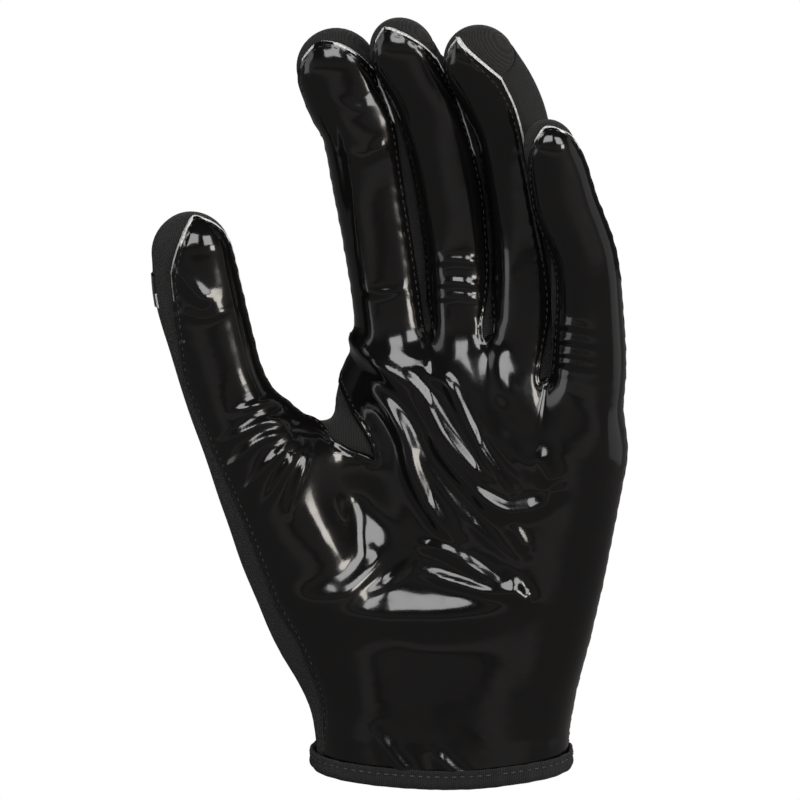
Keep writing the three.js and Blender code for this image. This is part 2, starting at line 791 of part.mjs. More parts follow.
function gussetGrid() {
  const rows = [];
  const columns = gussetColumns;
  const backEnd = backs[1].palm[webRow - 1][0];
  for (let j = slitRow; j <= webRow; j += 1) {
    const left = fronts[0].palm[j][thumbColumns];
    const right = fronts[1].palm[j][0];
    const row = [];
    for (let k = 0; k <= columns; k += 1) {
      const share = k / columns;
      if (k === 0 || left === right) row.push(left);
      else if (k === columns) row.push(right);
      else row.push(drop(whole, left.point.clone().lerp(right.point, share)));
    }
    rows.push(row);
  }
  const rim = rows[rows.length - 1];
  for (let j = 1; j <= gussetBeyond; j += 1) {
    const share = j / gussetBeyond;
    rows.push(rim.map((place, k) => {
      if (k === 0 || k === columns) return place;
      const low = k < columns / 2 ? rim[0].point : rim[columns].point;
      const near = 1 - Math.abs(2 * k / columns - 1);
      const goal = low.clone().lerp(backEnd.point, near);
      if (j === gussetBeyond && k === columns / 2) return backEnd;
      return drop(whole, place.point.clone().lerp(goal, share));
    }));
  }
  return rows;
}

// Walls out of grids of places

// One closed wall: the grids' cells, merged where they share places, drawn in by the seam gap at
// their open edges, and given an outer and an inner skin
function wallMesh(grids, name, material, outer, wall, { shift, reversed } = {}) {
  const index = new Map();
  const places = [];
  const faces = [];
  const numberOf = (place) => {
    if (!index.has(place)) {
      index.set(place, places.length);
      places.push(place);
    }
    return index.get(place);
  };
  for (const grid of grids) {
    for (let j = 1; j < grid.length; j += 1) {
      for (let k = 1; k < grid[j].length; k += 1) {
        const corners = [grid[j - 1][k - 1], grid[j - 1][k], grid[j][k], grid[j][k - 1]].map(numberOf);
        addCell(faces, reversed ? corners.reverse() : corners);
      }
    }
  }
  const skin = new Map();
  const key = (a, b) => `${a},${b}`;
  for (const [a, b, c] of faces) {
    for (const pair of [[a, b], [b, c], [c, a]]) skin.set(key(...pair), pair);
  }
  const rim = [...skin.values()].filter(([a, b]) => !skin.has(key(b, a)));
  const points = places.map((place) => place.point.clone());
  drawIn(points, places, rim);
  const raised = points.map((point, k) => point.addScaledVector(places[k].normal, shift ? shift(point) : 0));
  const count = points.length;
  const position = [];
  for (const height of [outer, outer - wall]) {
    raised.forEach((point, k) => {
      const moved = point.clone().addScaledVector(places[k].normal, height);
      position.push(moved.x, moved.y, moved.z);
    });
  }
  const triangles = [];
  for (const [a, b, c] of faces) triangles.push(a, b, c, c + count, b + count, a + count);
  for (const [a, b] of rim) triangles.push(b, a, a + count, b, a + count, b + count);
  const geometry = new THREE.BufferGeometry();
  geometry.setAttribute('position', new THREE.Float32BufferAttribute(position, 3));
  geometry.setIndex(triangles);
  geometry.computeVertexNormals();
  const mesh = new THREE.Mesh(geometry, material);
  mesh.name = name;
  return mesh;
}

// Two triangles of a cell, or one where two of its corners are the same place
function addCell(faces, corners) {
  const [a, b, c, d] = corners;
  if (new Set([a, b, c]).size === 3) faces.push([a, b, c]);
  if (new Set([a, c, d]).size === 3) faces.push([a, c, d]);
}

// Moves the open edge inwards along the surface by half the seam gap, and by no more than the
// stretch allows where the edge turns sharply
const cornerStretch = 0.35;

function drawIn(points, places, rim) {
  const push = new Map();
  for (const [a, b] of rim) {
    const way = places[b].point.clone().sub(places[a].point).normalize();
    for (const end of [a, b]) {
      const inward = places[end].normal.clone().cross(way).normalize();
      if (!push.has(end)) push.set(end, []);
      push.get(end).push(inward);
    }
  }
  for (const [end, [first, second]] of push) {
    const sum = first.clone().add(second);
    const stretch = Math.max(1 + first.dot(second), cornerStretch);
    points[end].addScaledVector(sum, seamGap / 2 / stretch);
  }
}

// Height of the folds at a place, fading at each fold's ends
function foldHeight(folds, point) {
  let height = 0;
  for (const fold of folds) {
    const a = new THREE.Vector2(fold.side * palmWidth, fold.rise * gloveLength);
    const b = new THREE.Vector2(fold.toSide * palmWidth, fold.toRise * gloveLength);
    const way = b.clone().sub(a);
    const off = new THREE.Vector2(point.x, point.z).sub(a);
    const share = THREE.MathUtils.clamp(off.dot(way) / way.lengthSq(), 0, 1);
    const far = off.addScaledVector(way, -share).length() / (fold.wide * palmWidth);
    height += fold.high * handDepth * Math.exp(-far * far);
  }
  return height;
}

const panelMaterial = new THREE.MeshStandardMaterial({ color: 0x0a0a0b, roughness: 0.12, metalness: 0 });
const backMaterial = new THREE.MeshStandardMaterial({ color: 0x1b1b1d, roughness: 0.8, metalness: 0 });
const stripMaterial = new THREE.MeshStandardMaterial({ color: 0x222224, roughness: 0.85, metalness: 0 });
const tapeMaterial = new THREE.MeshStandardMaterial({ color: 0x141415, roughness: 0.9, metalness: 0 });

const glove = new THREE.Group();

const palmShift = (point) => foldHeight(palmFolds, point) + foldHeight(thumbFolds, point);
const frontGrids = fronts.flatMap((front) => [front.palm, front.digit]);
glove.add(wallMesh(frontGrids, 'palm_panel', panelMaterial, 0, panelWall, { shift: palmShift }));

const [thumbGrids, ...handGrids] = backs.map((back) => [back.palm, back.digit, back.tip]);
glove.add(wallMesh(thumbGrids, 'thumb_back', backMaterial, 0, fabricWall, { reversed: true }));
glove.add(wallMesh(handGrids.flat(), 'back_panel', backMaterial, 0, fabricWall, { reversed: true }));

const stripNames = ['side_strip_index_middle', 'side_strip_middle_ring', 'side_strip_ring_little'];
stripNames.forEach((name, k) => {
  glove.add(wallMesh([stripGrid(k + 1)], name, stripMaterial, 0, fabricWall, { reversed: true }));
});
glove.add(wallMesh([gussetGrid()], 'thumb_gusset', stripMaterial, 0, fabricWall));

// The small patch on the thumb's outer side, a layer above the back fabric
const patch = { low: 0.615, high: 0.655, from: -66, to: -118, rows: 4, columns: 4 };
const patchStep = 0.5;

function patchGrid() {
  const form = (point) => digitForm(thumb, point);
  const riseOf = (along) => stationAt(thumb, along).centre.z / gloveLength;
  let start = 0;
  while (riseOf(start) < patch.low) start += patchStep;
  let end = start;
  while (riseOf(end) < patch.high) end += patchStep;
  const rows = [];
  for (let j = 0; j <= patch.rows; j += 1) {
    const row = [];
    for (let k = 0; k <= patch.columns; k += 1) {
      const along = mix(start, end, j / patch.rows);
      row.push(digitPlace(form, thumb, along, mix(patch.to, patch.from, k / patch.columns)));
    }
    rows.push(row);
  }
  return rows;
}
glove.add(wallMesh([patchGrid()], 'thumb_side_patch', panelMaterial, layerGap + patchWall, patchWall));

// The tape folded round the hem: a U section carried round the wrist, which dips at the palm's middle
function tapeMesh() {
  const wallIn = -panelWall - 2 * layerGap;
  const profile = [
    [layerGap + tapeWall, tapeHeight],
    [layerGap + tapeWall, -layerGap - tapeWall],
    [wallIn - tapeWall, -layerGap - tapeWall],
    [wallIn - tapeWall, tapeHeight],
    [wallIn, tapeHeight],
    [wallIn, -layerGap],
    [layerGap, -layerGap],
    [layerGap, tapeHeight],
  ];
  const position = [];
  for (let k = 0; k < tapeColumns; k += 1) {
    const angle = 360 * k / tapeColumns;
    const dip = hemDip * Math.max(Math.cos(angle * degrees), 0) ** 2;
    for (const [out, high] of profile) {
      const z = high - dip;
      const place = castOut(whole, new THREE.Vector3(0, 0, z), turned(angle));
      const flat = place.normal.clone().setZ(0).normalize();
      const point = place.point.clone().addScaledVector(flat, out);
      position.push(point.x, point.y, point.z);
    }
  }
  const triangles = [];
  const size = profile.length;
  for (let k = 0; k < tapeColumns; k += 1) {
    const next = (k + 1) % tapeColumns;
    for (let p = 0; p < size; p += 1) {
      const q = (p + 1) % size;
      const [a, b, c, d] = [k * size + p, next * size + p, next * size + q, k * size + q];
      triangles.push(a, d, c, a, c, b);
    }
  }
  const geometry = new THREE.BufferGeometry();
  geometry.setAttribute('position', new THREE.Float32BufferAttribute(position, 3));
  geometry.setIndex(triangles);
  geometry.computeVertexNormals();
  const mesh = new THREE.Mesh(geometry, tapeMaterial);
  mesh.name = 'cuff_binding';
  return mesh;
}
glove.add(tapeMesh());

export default glove;
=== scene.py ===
from types import SimpleNamespace

import bpy
import numpy as np
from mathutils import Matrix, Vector


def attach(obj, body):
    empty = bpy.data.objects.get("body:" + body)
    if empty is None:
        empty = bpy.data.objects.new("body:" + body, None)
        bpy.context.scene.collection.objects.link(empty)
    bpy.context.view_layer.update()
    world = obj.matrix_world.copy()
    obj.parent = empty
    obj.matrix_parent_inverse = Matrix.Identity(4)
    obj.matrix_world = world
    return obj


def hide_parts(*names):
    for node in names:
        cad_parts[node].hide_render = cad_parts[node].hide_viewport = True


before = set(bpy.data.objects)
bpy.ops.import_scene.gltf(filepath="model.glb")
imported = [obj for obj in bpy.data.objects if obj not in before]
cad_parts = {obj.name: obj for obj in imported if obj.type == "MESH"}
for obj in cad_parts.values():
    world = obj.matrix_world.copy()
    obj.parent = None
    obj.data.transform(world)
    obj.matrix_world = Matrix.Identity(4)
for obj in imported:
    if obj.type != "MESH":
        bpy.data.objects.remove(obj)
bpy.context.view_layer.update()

# The glove's sizes in millimetres, palm towards -Y and thumb towards -X. They are the solids' sizes,
# but for the walls, which are a little thinner
MM = 0.001
GLOVE_LENGTH = 243.0
PALM_WIDTH = 88.0
HAND_DEPTH = 38.0
FINGER_WIDTH = 22.0
FINGER_DEPTH = 20.0
THUMB_WIDTH = 26.0
THUMB_DEPTH = 22.0
WEB_HEIGHT = 20.0
WEB_THICKNESS = 15.0
PANEL_WALL = 1.0
FABRIC_WALL = 0.8
TAPE_HEIGHT = 4.4
HEM_DIP = 1.8

# How softly two forms run into each other, in millimetres
FINGER_BLEND = 7.0
THUMB_BLEND = 12.0
WEB_BLEND = 12.0
VALLEY_BLEND = 1.5

# Rows and columns of the coarse lattice, and how many fine cells each of its cells is cut into
PALM_ROWS = 22
SLIT_ROW = 15
WEB_ROW = 18
FINGER_ROWS = 13
FINGER_COLUMNS = 5
THUMB_COLUMNS = 7
TIP_ROWS = 4
FINE = 7

# Sections of the hand: rise is a share of GLOVE_LENGTH, centre and half of PALM_WIDTH, middle and
# deep of HAND_DEPTH, and tilt turns the section
HAND_COLUMNS = ["rise", "centre", "half", "middle", "deep", "tilt"]
HAND_SECTIONS = np.array([
    [-0.05, 0.0, 0.44, 0.0, 0.64, 0],
    [0.046, 0.004, 0.436, 0.007, 0.625, 0],
    [0.098, 0.021, 0.443, 0.007, 0.599, -0.02],
    [0.163, 0.057, 0.461, 0.0, 0.553, -0.05],
    [0.241, 0.092, 0.475, -0.013, 0.513, -0.08],
    [0.319, 0.122, 0.484, -0.02, 0.48, -0.11],
    [0.397, 0.14, 0.505, -0.02, 0.454, -0.13],
    [0.475, 0.144, 0.524, -0.013, 0.421, -0.15],
    [0.54, 0.152, 0.497, -0.01, 0.4, -0.16],
    [0.64, 0.156, 0.461, -0.007, 0.375, -0.16],
])
HAND_ROUNDNESS = 2.4
KNUCKLE_LINE = np.array([[-0.35, 0.553], [-0.05, 0.555], [0.15, 0.555], [0.34, 0.5], [0.6, 0.46]])
KNUCKLE_ROUNDING = 16.0

# Digits: side, rise and depth of the spine, then width and thickness as shares of the digit's own.
# left and right are the angles of the palm sheet's edges from the digit's front, base to tip, and
# back_left and back_right those of the back's cloth. reach is how far the sheet climbs the tip's dome,
# and corner how far below the tip its two corners lie
DIGIT_TABLES = [
    dict(name="thumb", width=THUMB_WIDTH, thick=THUMB_DEPTH, blend=THUMB_BLEND, tip=0.5, rows=[
        [-0.19, 0.02, 0.05, 1.3, 1.5],
        [-0.25, 0.1, 0.02, 1.48, 1.58],
        [-0.366, 0.182, -0.08, 1.58, 1.65],
        [-0.492, 0.28, -0.18, 1.5, 1.58],
        [-0.6, 0.364, -0.26, 1.3, 1.4],
        [-0.692, 0.436, -0.32, 1.12, 1.22],
        [-0.77, 0.501, -0.34, 1.0, 1.1],
        [-0.815, 0.559, -0.37, 1.01, 1.05],
        [-0.856, 0.618, -0.39, 1.04, 1.02],
        [-0.878, 0.674, -0.42, 0.97, 0.94]],
        left=[-58, -50, -40, -33, -32], right=[95], back_left=[-58, -50, -40, -33, -32],
        back_right=[95], reach=0.78, corner=0.16),
    dict(name="index", width=FINGER_WIDTH, thick=FINGER_DEPTH, blend=FINGER_BLEND, tip=0.57, rows=[
        [-0.121, 0.436, 0.0, 1.15, 1.3],
        [-0.149, 0.52, 0.03, 1.13, 1.22],
        [-0.181, 0.605, 0.05, 1.06, 1.1],
        [-0.209, 0.676, 0.05, 1.08, 1.08],
        [-0.245, 0.754, 0.03, 1.11, 1.06],
        [-0.28, 0.826, -0.04, 1.13, 1.02],
        [-0.33, 0.865, -0.06, 1.16, 0.97],
        [-0.371, 0.904, -0.1, 1.15, 0.9]],
        left=[-95], right=[62, 54, 53, 54, 64], back_left=[-95], back_right=[122],
        reach=0.66, corner=0.2),
    dict(name="middle", width=FINGER_WIDTH, thick=FINGER_DEPTH, blend=FINGER_BLEND, tip=0.54, rows=[
        [0.071, 0.436, -0.05, 1.09, 1.35],
        [0.076, 0.52, -0.03, 1.0, 1.24],
        [0.067, 0.605, -0.03, 0.93, 1.1],
        [0.056, 0.676, -0.03, 0.91, 1.05],
        [0.03, 0.754, -0.08, 0.92, 1.03],
        [-0.02, 0.832, -0.15, 0.93, 0.99],
        [-0.068, 0.878, -0.23, 0.92, 0.95],
        [-0.138, 0.925, -0.32, 0.93, 0.88]],
        left=[-92], right=[66, 66, 70, 60, 58], back_left=[-135], back_right=[122],
        reach=0.82, corner=0.2),
    dict(name="ring", width=FINGER_WIDTH, thick=FINGER_DEPTH, blend=FINGER_BLEND, tip=0.56, rows=[
        [0.25, 0.436, -0.14, 1.09, 1.35],
        [0.277, 0.52, -0.13, 1.0, 1.22],
        [0.297, 0.605, -0.12, 0.97, 1.08],
        [0.298, 0.676, -0.13, 0.96, 1.02],
        [0.28, 0.754, -0.18, 0.99, 1.0],
        [0.248, 0.826, -0.25, 1.04, 0.98],
        [0.2, 0.871, -0.36, 1.07, 0.95],
        [0.128, 0.916, -0.49, 1.03, 0.9]],
        left=[-98], right=[50, 46, 22, 12, 18], back_left=[-138], back_right=[108],
        reach=0.86, corner=0.2),
    dict(name="little", width=FINGER_WIDTH, thick=FINGER_DEPTH, blend=FINGER_BLEND, tip=0.44, rows=[
        [0.464, 0.423, -0.22, 1.2, 1.4],
        [0.508, 0.514, -0.28, 1.08, 1.26],
        [0.512, 0.598, -0.4, 0.94, 1.07],
        [0.493, 0.67, -0.5, 0.89, 0.98],
        [0.425, 0.735, -0.6, 0.9, 0.93],
        [0.394, 0.78, -0.67, 0.84, 0.87],
        [0.369, 0.81, -0.73, 0.75, 0.82]],
        left=[-78], right=[90, 98, 98], back_left=[-125], back_right=[90, 98, 98],
        reach=0.8, corner=0.2),
]
WEB_TABLE = dict(name="web", width=WEB_HEIGHT, thick=WEB_THICKNESS, tip=0.4, closed=True, rows=[
    [-0.15, 0.39, 0.0, 1.0, 1.1],
    [-0.3, 0.405, -0.08, 1.0, 1.0],
    [-0.45, 0.41, -0.2, 1.0, 1.0],
    [-0.6, 0.42, -0.28, 1.0, 1.0]])

# Lines of the palm from the hem to each crotch, side and rise
PALM_LINES = [
    np.array([[-0.25, 0], [-0.273, 0.085], [-0.273, 0.241], [-0.245, 0.408]]),
    np.array([[-0.106, 0], [-0.106, 0.098], [-0.06, 0.267], [-0.04, 0.427], [-0.05, 0.566]]),
    np.array([[0.035, 0], [0.046, 0.098], [0.092, 0.267], [0.128, 0.427], [0.15, 0.56]]),
    np.array([[0.206, 0], [0.241, 0.098], [0.305, 0.267], [0.34, 0.4], [0.345, 0.51]]),
]
BACK_DROP = 0.02
THUMB_EDGE = np.array([
    [-0.42, 0], [-0.425, 0.04], [-0.433, 0.1], [-0.505, 0.17], [-0.578, 0.215],
    [-0.69, 0.325], [-0.765, 0.39], [-0.82, 0.435], [-0.895, 0.5]])
WEB_THUMB = (-0.43, -0.18, 0.462)
WEB_INDEX = (-0.372, -0.1, 0.478)
BACK_WEB_LINE = np.array([[-0.25, 0], [-0.273, 0.085], [-0.3, 0.241], [-0.35, 0.36], [-0.405, 0.43]])
# The slit: half its width and the swell of its lips
SLIT_HALF = 0.016
LIP_SWELL = 0.1
# How rows bulge, turn from the base's angles to the digit's, even out, and crowd at the base
ROW_BULGE = 0.35
EDGE_TURN = 0.25
EVEN_TURN = 0.7
BASE_CROWDING = 1.25
# The hand's own edges: how far inside them rays start, how high they end, and their angles
INSIDE_EDGE = 0.15
LITTLE_EDGE_RISE = 0.53
INDEX_EDGE_RISE = 0.565
EDGE_ANGLE = 95
LITTLE_EDGE_ANGLE = 72
LITTLE_BEND = 1.6
# How full the arch is in which a panel ends, and how the rows on the thumb's back spread
ARCH_FULLNESS = 2.2
EDGE_STAY = 0.25
EDGE_SETTLE = 0.6
# Steps along a digit's spine, between two of its table's rows and in all when places are read on it
SPINE_CUTS = 5
READING_STEPS = 400
SCALES = np.array([PALM_WIDTH, HAND_DEPTH, GLOVE_LENGTH])


# Curves, fields and rays

def mix(a, b, share):
    """a + (b - a) * share."""
    return a + (b - a) * share


def smoothstep(x, low, high):
    """0 below low, 1 above high, and t * t * (3 - 2t) between them."""
    t = np.clip((x - low) / (high - low), 0, 1)
    return t * t * (3 - 2 * t)


def unit(v):
    """Each vector over its own length."""
    return v / np.maximum(np.linalg.norm(v, axis=-1, keepdims=True), 1e-9)


def smooth_curve(knots, t):
    """The Catmull-Rom curve through the knots at t from 0 to 1: a cubic on each span, whose slope at
    a knot is half the step between its neighbours."""
    ends = np.concatenate([2 * knots[:1] - knots[1:2], knots, 2 * knots[-1:] - knots[-2:-1]])
    place = np.clip(t, 0, 1) * (len(knots) - 1)
    k = np.minimum(place.astype(int), len(knots) - 2)
    s = (place - k).reshape((-1,) + (1,) * (knots.ndim - 1))
    before, here, there, after = ends[k], ends[k + 1], ends[k + 2], ends[k + 3]
    return ((2 * s**3 - 3 * s**2 + 1) * here + (s**3 - 2 * s**2 + s) * (there - before) / 2
            + (3 * s**2 - 2 * s**3) * there + (s**3 - s**2) * (after - here) / 2)


def build_spine(table):
    """A digit's spine: the table's rows as a smooth curve, cut into short lengths, with the way it
    runs, its half width and half depth and the length along it at each cut."""
    rows = np.array(table["rows"])
    knots = rows[:, [0, 2, 1]] * SCALES
    sizes = rows[:, 3:] * [table["width"] / 2, table["thick"] / 2]
    t = np.linspace(0, 1, (len(rows) - 1) * SPINE_CUTS + 1)
    step = 1e-4
    centres = smooth_curve(knots, t)
    ways = unit(smooth_curve(knots, t + step) - smooth_curve(knots, t - step))
    size = smooth_curve(sizes, t)
    lengths = np.linalg.norm(np.diff(centres, axis=0), axis=1)
    along = np.concatenate([[0], np.cumsum(lengths)])
    dome = table["tip"] * table["width"]
    extra = {key: value for key, value in table.items() if key != "rows"}
    return SimpleNamespace(
        centres=centres, ways=ways, half=size[:, 0], deep=size[:, 1], along=along, length=along[-1],
        dome=dome, dome_arc=(dome + size[-1, 1]) / 2 * np.pi / 2, **{"closed": False, **extra})


def smooth_union(a, b, blend):
    """The smaller of two fields, rounded where they are within the blend of each other."""
    near = np.maximum(blend - np.abs(a - b), 0) / blend
    return np.minimum(a, b) - near * near * blend / 4


def spine_frame(way):
    """Front is -Y made square to the spine's way, and right is the way cross the front."""
    front = unit(np.array([0.0, -1.0, 0.0]) + way * way[..., 1:2])
    return front, np.cross(way, front)


def digit_field(digit, p):
    """Distance to a digit: its nearest section is an ellipse, and past its end half an ellipsoid."""
    a = digit.centres[:-1]
    d = digit.centres[1:] - a
    lengths = (d * d).sum(1)
    along = p @ d.T - (a * d).sum(1)
    s = np.clip(along / lengths, 0, 1)
    far = (p * p).sum(1)[:, None] - 2 * p @ a.T + (a * a).sum(1) - 2 * s * along + s * s * lengths
    k = far.argmin(1)
    s = s[np.arange(len(p)), k]
    share = s[:, None]
    off = p - a[k] - d[k] * share
    way = unit(mix(digit.ways[k], digit.ways[k + 1], share))
    front, right = spine_frame(way)
    half = mix(digit.half[k], digit.half[k + 1], s)
    deep = mix(digit.deep[k], digit.deep[k + 1], s)
    x = (off * right).sum(1) / half
    y = (off * front).sum(1) / deep
    past = (k == len(a) - 1) & (s == 1)
    if digit.closed:
        past |= (k == 0) & (s == 0)
    z = np.where(past, (off * way).sum(1) / digit.dome, 0)
    radius = np.sqrt(x * x + y * y + z * z)
    slope = np.sqrt((x / half) ** 2 + (y / deep) ** 2 + (z / digit.dome) ** 2) / np.maximum(radius, 1e-6)
    return (radius - 1) / np.maximum(slope, 1 / digit.width)


def hand_reading(name, z):
    """A column of the hand's sections at a height."""
    return np.interp(z / GLOVE_LENGTH, HAND_SECTIONS[:, 0], HAND_SECTIONS[:, HAND_COLUMNS.index(name)])


def block_field(p):
    """Distance to the hand alone: superellipse sections that end, rounded, at the knuckle line."""
    centre, half, middle, deep, tilt = (hand_reading(name, p[:, 2]) for name in HAND_COLUMNS[1:])
    n = HAND_ROUNDNESS
    across = p[:, 0] - centre * PALM_WIDTH
    wide = half * PALM_WIDTH
    thick = deep * HAND_DEPTH
    x = np.abs(across) / wide
    y = np.abs(p[:, 1] - middle * HAND_DEPTH - tilt * across) / thick
    radius = np.maximum((x**n + y**n) ** (1 / n), 1e-3)
    slope = np.hypot(x ** (n - 1) / wide, y ** (n - 1) / thick) * radius ** (1 - n)
    wall = (radius - 1) / np.maximum(slope, 1 / PALM_WIDTH)
    top = p[:, 2] - np.interp(p[:, 0] / PALM_WIDTH, KNUCKLE_LINE[:, 0], KNUCKLE_LINE[:, 1]) * GLOVE_LENGTH
    return -smooth_union(-wall, -top, KNUCKLE_ROUNDING)


DIGITS = [build_spine(table) for table in DIGIT_TABLES]
THUMB = DIGITS[0]
WEB = build_spine(WEB_TABLE)


def hand_field(p):
    """The hand with its web."""
    return smooth_union(block_field(p), digit_field(WEB, p), WEB_BLEND)


def digit_form(digit):
    """The field of the hand with one digit."""
    return lambda p: smooth_union(hand_field(p), digit_field(digit, p), digit.blend)


def whole(p):
    """The field of the hand with all its digits."""
    fingers = digit_field(DIGITS[1], p)
    for digit in DIGITS[2:]:
        fingers = smooth_union(fingers, digit_field(digit, p), VALLEY_BLEND)
    hand = smooth_union(hand_field(p), digit_field(THUMB, p), THUMB_BLEND)
    return smooth_union(hand, fingers, FINGER_BLEND)


CORNERS = np.array([[1, -1, -1], [-1, -1, 1], [-1, 1, -1], [1, 1, 1]], float)


def outward(form, p, step=0.05):
    """The field's slope at each place, from four samples at the corners of a tetrahedron."""
    return unit(sum(form(p + step * corner)[:, None] * corner for corner in CORNERS))


# How a place is brought to the surface: steps down the field, the share of each step that is taken,
# halvings of a ray's last millimetre, and how far a ray looks outwards in millimetres
DROP_STEPS = 8
DROP_SHARE = 0.9
HALVINGS = 18
RAY_REACH = 60.0


def drop(form, p, steps=DROP_STEPS):
    """The nearest place on the surface, by steps down the field's slope. Takes any shape (..., 3)."""
    flat = p.reshape(-1, 3)
    for _ in range(steps):
        flat = flat - outward(form, flat) * form(flat)[:, None] * DROP_SHARE
    return flat.reshape(p.shape)


def halve(form, origin, way, low, high):
    """The crossing between two distances along each ray, by halving."""
    for _ in range(HALVINGS):
        half = (low + high) / 2
        inside = form(origin + way * half[:, None]) < 0
        low = np.where(inside, half, low)
        high = np.where(inside, high, half)
    return origin + way * high[:, None]


def cast_out(form, origin, way):
    """From inside, out along each ray to the first crossing."""
    shape = np.broadcast_shapes(origin.shape, way.shape)
    origin = np.broadcast_to(origin, shape).reshape(-1, 3)
    way = np.broadcast_to(way, shape).reshape(-1, 3)
    steps = np.arange(1.0, RAY_REACH)
    spots = origin[:, None] + way[:, None] * steps[:, None]
    outer = steps[(form(spots.reshape(-1, 3)).reshape(len(origin), -1) >= 0).argmax(1)]
    return halve(form, origin, way, outer - 1, outer).reshape(shape)


def cast_in(form, origin, way):
    """From outside the hand, in along each ray to the surface. Rays that miss it drop onto it."""
    shape = origin.shape
    origin = origin.reshape(-1, 3)
    way = way.reshape(-1, 3)
    steps = np.arange(HAND_DEPTH - 1, -1, -1)
    spots = origin[:, None] + way[:, None] * steps[:, None]
    inside = form(spots.reshape(-1, 3)).reshape(len(origin), -1) <= 0
    inner = steps[inside.argmax(1)]
    found = inside.any(1)
    place = halve(lambda p: -form(p), origin + way * (inner + 1)[:, None], -way,
                  np.zeros(len(origin)), np.ones(len(origin)))
    if not found.all():
        place[~found] = drop(form, origin[~found])
    return place.reshape(shape)


def turned(angle):
    """A level direction at an angle in degrees from the front, positive towards +X."""
    return np.stack([np.sin(np.radians(angle)), -np.cos(np.radians(angle)), 0 * angle], -1)


# The coarse lattice: places on the surface, row by row

def along_line(line, share):
    """Points of a line by share of its length, in millimetres, side and rise."""
    places = line * [PALM_WIDTH, GLOVE_LENGTH]
    steps = np.concatenate([[0], np.cumsum(np.linalg.norm(np.diff(places, axis=0), axis=1))])
    at = share * steps[-1]
    return np.interp(at, steps, places[:, 0]), np.interp(at, steps, places[:, 1])


def middle_depth(x, z):
    """The depth of the hand's middle layer."""
    return (hand_reading("middle", z) * HAND_DEPTH
            + hand_reading("tilt", z) * (x - hand_reading("centre", z) * PALM_WIDTH))


def line_ends(line, share, angle, fall=0.0):
    """Row ends on a line: inner place and ray angle, as rows of x, y, z and angle."""
    x, z = along_line(line, share)
    z = z - fall * GLOVE_LENGTH * share**3
    return np.stack([x, middle_depth(x, z), z, np.full_like(x, angle)], -1)


def side_ends(side, rise, angle):
    """Row ends on the hand's own side edge at each rise."""
    z = rise * GLOVE_LENGTH
    x = (hand_reading("centre", z) + side * (hand_reading("half", z) - INSIDE_EDGE)) * PALM_WIDTH
    return np.stack([x, middle_depth(x, z), z, angle + 0 * x], -1)


def hand_rows(left, right, columns, stay=0.0, settle=1.0, bend=1.0):
    """Rows across the hand: rays cast in from outside, at places and angles mixed between two ends.
    The places stay at the left end for a share of the columns, and the angles settle at another."""
    share = np.arange(columns + 1) / columns
    moved = (np.maximum(share - stay, 0) / (1 - stay))[:, None]
    left = left[:, None]
    right = right[:, None]
    xy = mix(left[..., :2], right[..., :2], moved)
    z = mix(left[..., 2:3], right[..., 2:3], share[:, None])
    angle = mix(left[..., 3], right[..., 3], np.minimum(share / settle, 1) ** bend)
    return cast_in(whole, np.concatenate([xy, z], -1), turned(angle))


def span_rows(left, right, columns):
    """Rows between two columns of known places, bulged to the front and dropped onto the form."""
    share = (np.arange(columns + 1) / columns)[:, None]
    rows = mix(left[:, None], right[:, None], share)
    bulge = ROW_BULGE * np.linalg.norm(right - left, axis=1)[:, None]
    rows[..., 1] -= bulge * np.sin(np.pi * share[:, 0])
    rows = drop(whole, rows)
    rows[:, 0] = left
    rows[:, -1] = right
    return rows


def station_at(digit, along):
    """Centre, frame and half sizes of a digit at lengths along its spine."""
    columns = np.column_stack([digit.centres, digit.ways, digit.half, digit.deep])
    read = np.stack([np.interp(along, digit.along, column) for column in columns.T], -1)
    way = unit(read[..., 3:6])
    front, right = spine_frame(way)
    return SimpleNamespace(centre=read[..., :3], way=way, front=front, right=right,
                           half=read[..., 6], deep=read[..., 7])


def digit_places(digit, along, angle):
    """Places on a digit's skin, by length along the spine and angle from its front; lengths past the
    spine's end climb over the tip's dome."""
    at = station_at(digit, np.minimum(along, digit.length))
    lift = np.maximum(along - digit.length, 0) / digit.dome_arc * np.pi / 2
    turn = np.radians(angle)
    way = (at.right * (at.half * np.sin(turn) * np.cos(lift))[..., None]
           + at.front * (at.deep * np.cos(turn) * np.cos(lift))[..., None]
           + at.way * (digit.dome * np.sin(lift))[..., None])
    return cast_out(digit_form(digit), at.centre, unit(way))


def digit_reading(digit, points):
    """Length along a digit's spine and angle from its front, of places near it."""
    lengths = np.linspace(0, digit.length, READING_STEPS + 1)
    centres = station_at(digit, lengths).centre
    along = lengths[np.linalg.norm(points[:, None] - centres, axis=2).argmin(1)]
    at = station_at(digit, along)
    off = points - at.centre
    angle = np.arctan2((off * at.right).sum(1) / at.half, (off * at.front).sum(1) / at.deep)
    return along, np.degrees(angle)


def read_list(values, share):
    """A value out of a list spread evenly from a digit's base to its tip."""
    if len(values) == 1:
        return values[0] + 0 * share
    return np.interp(share, np.linspace(0, 1, len(values)), values)


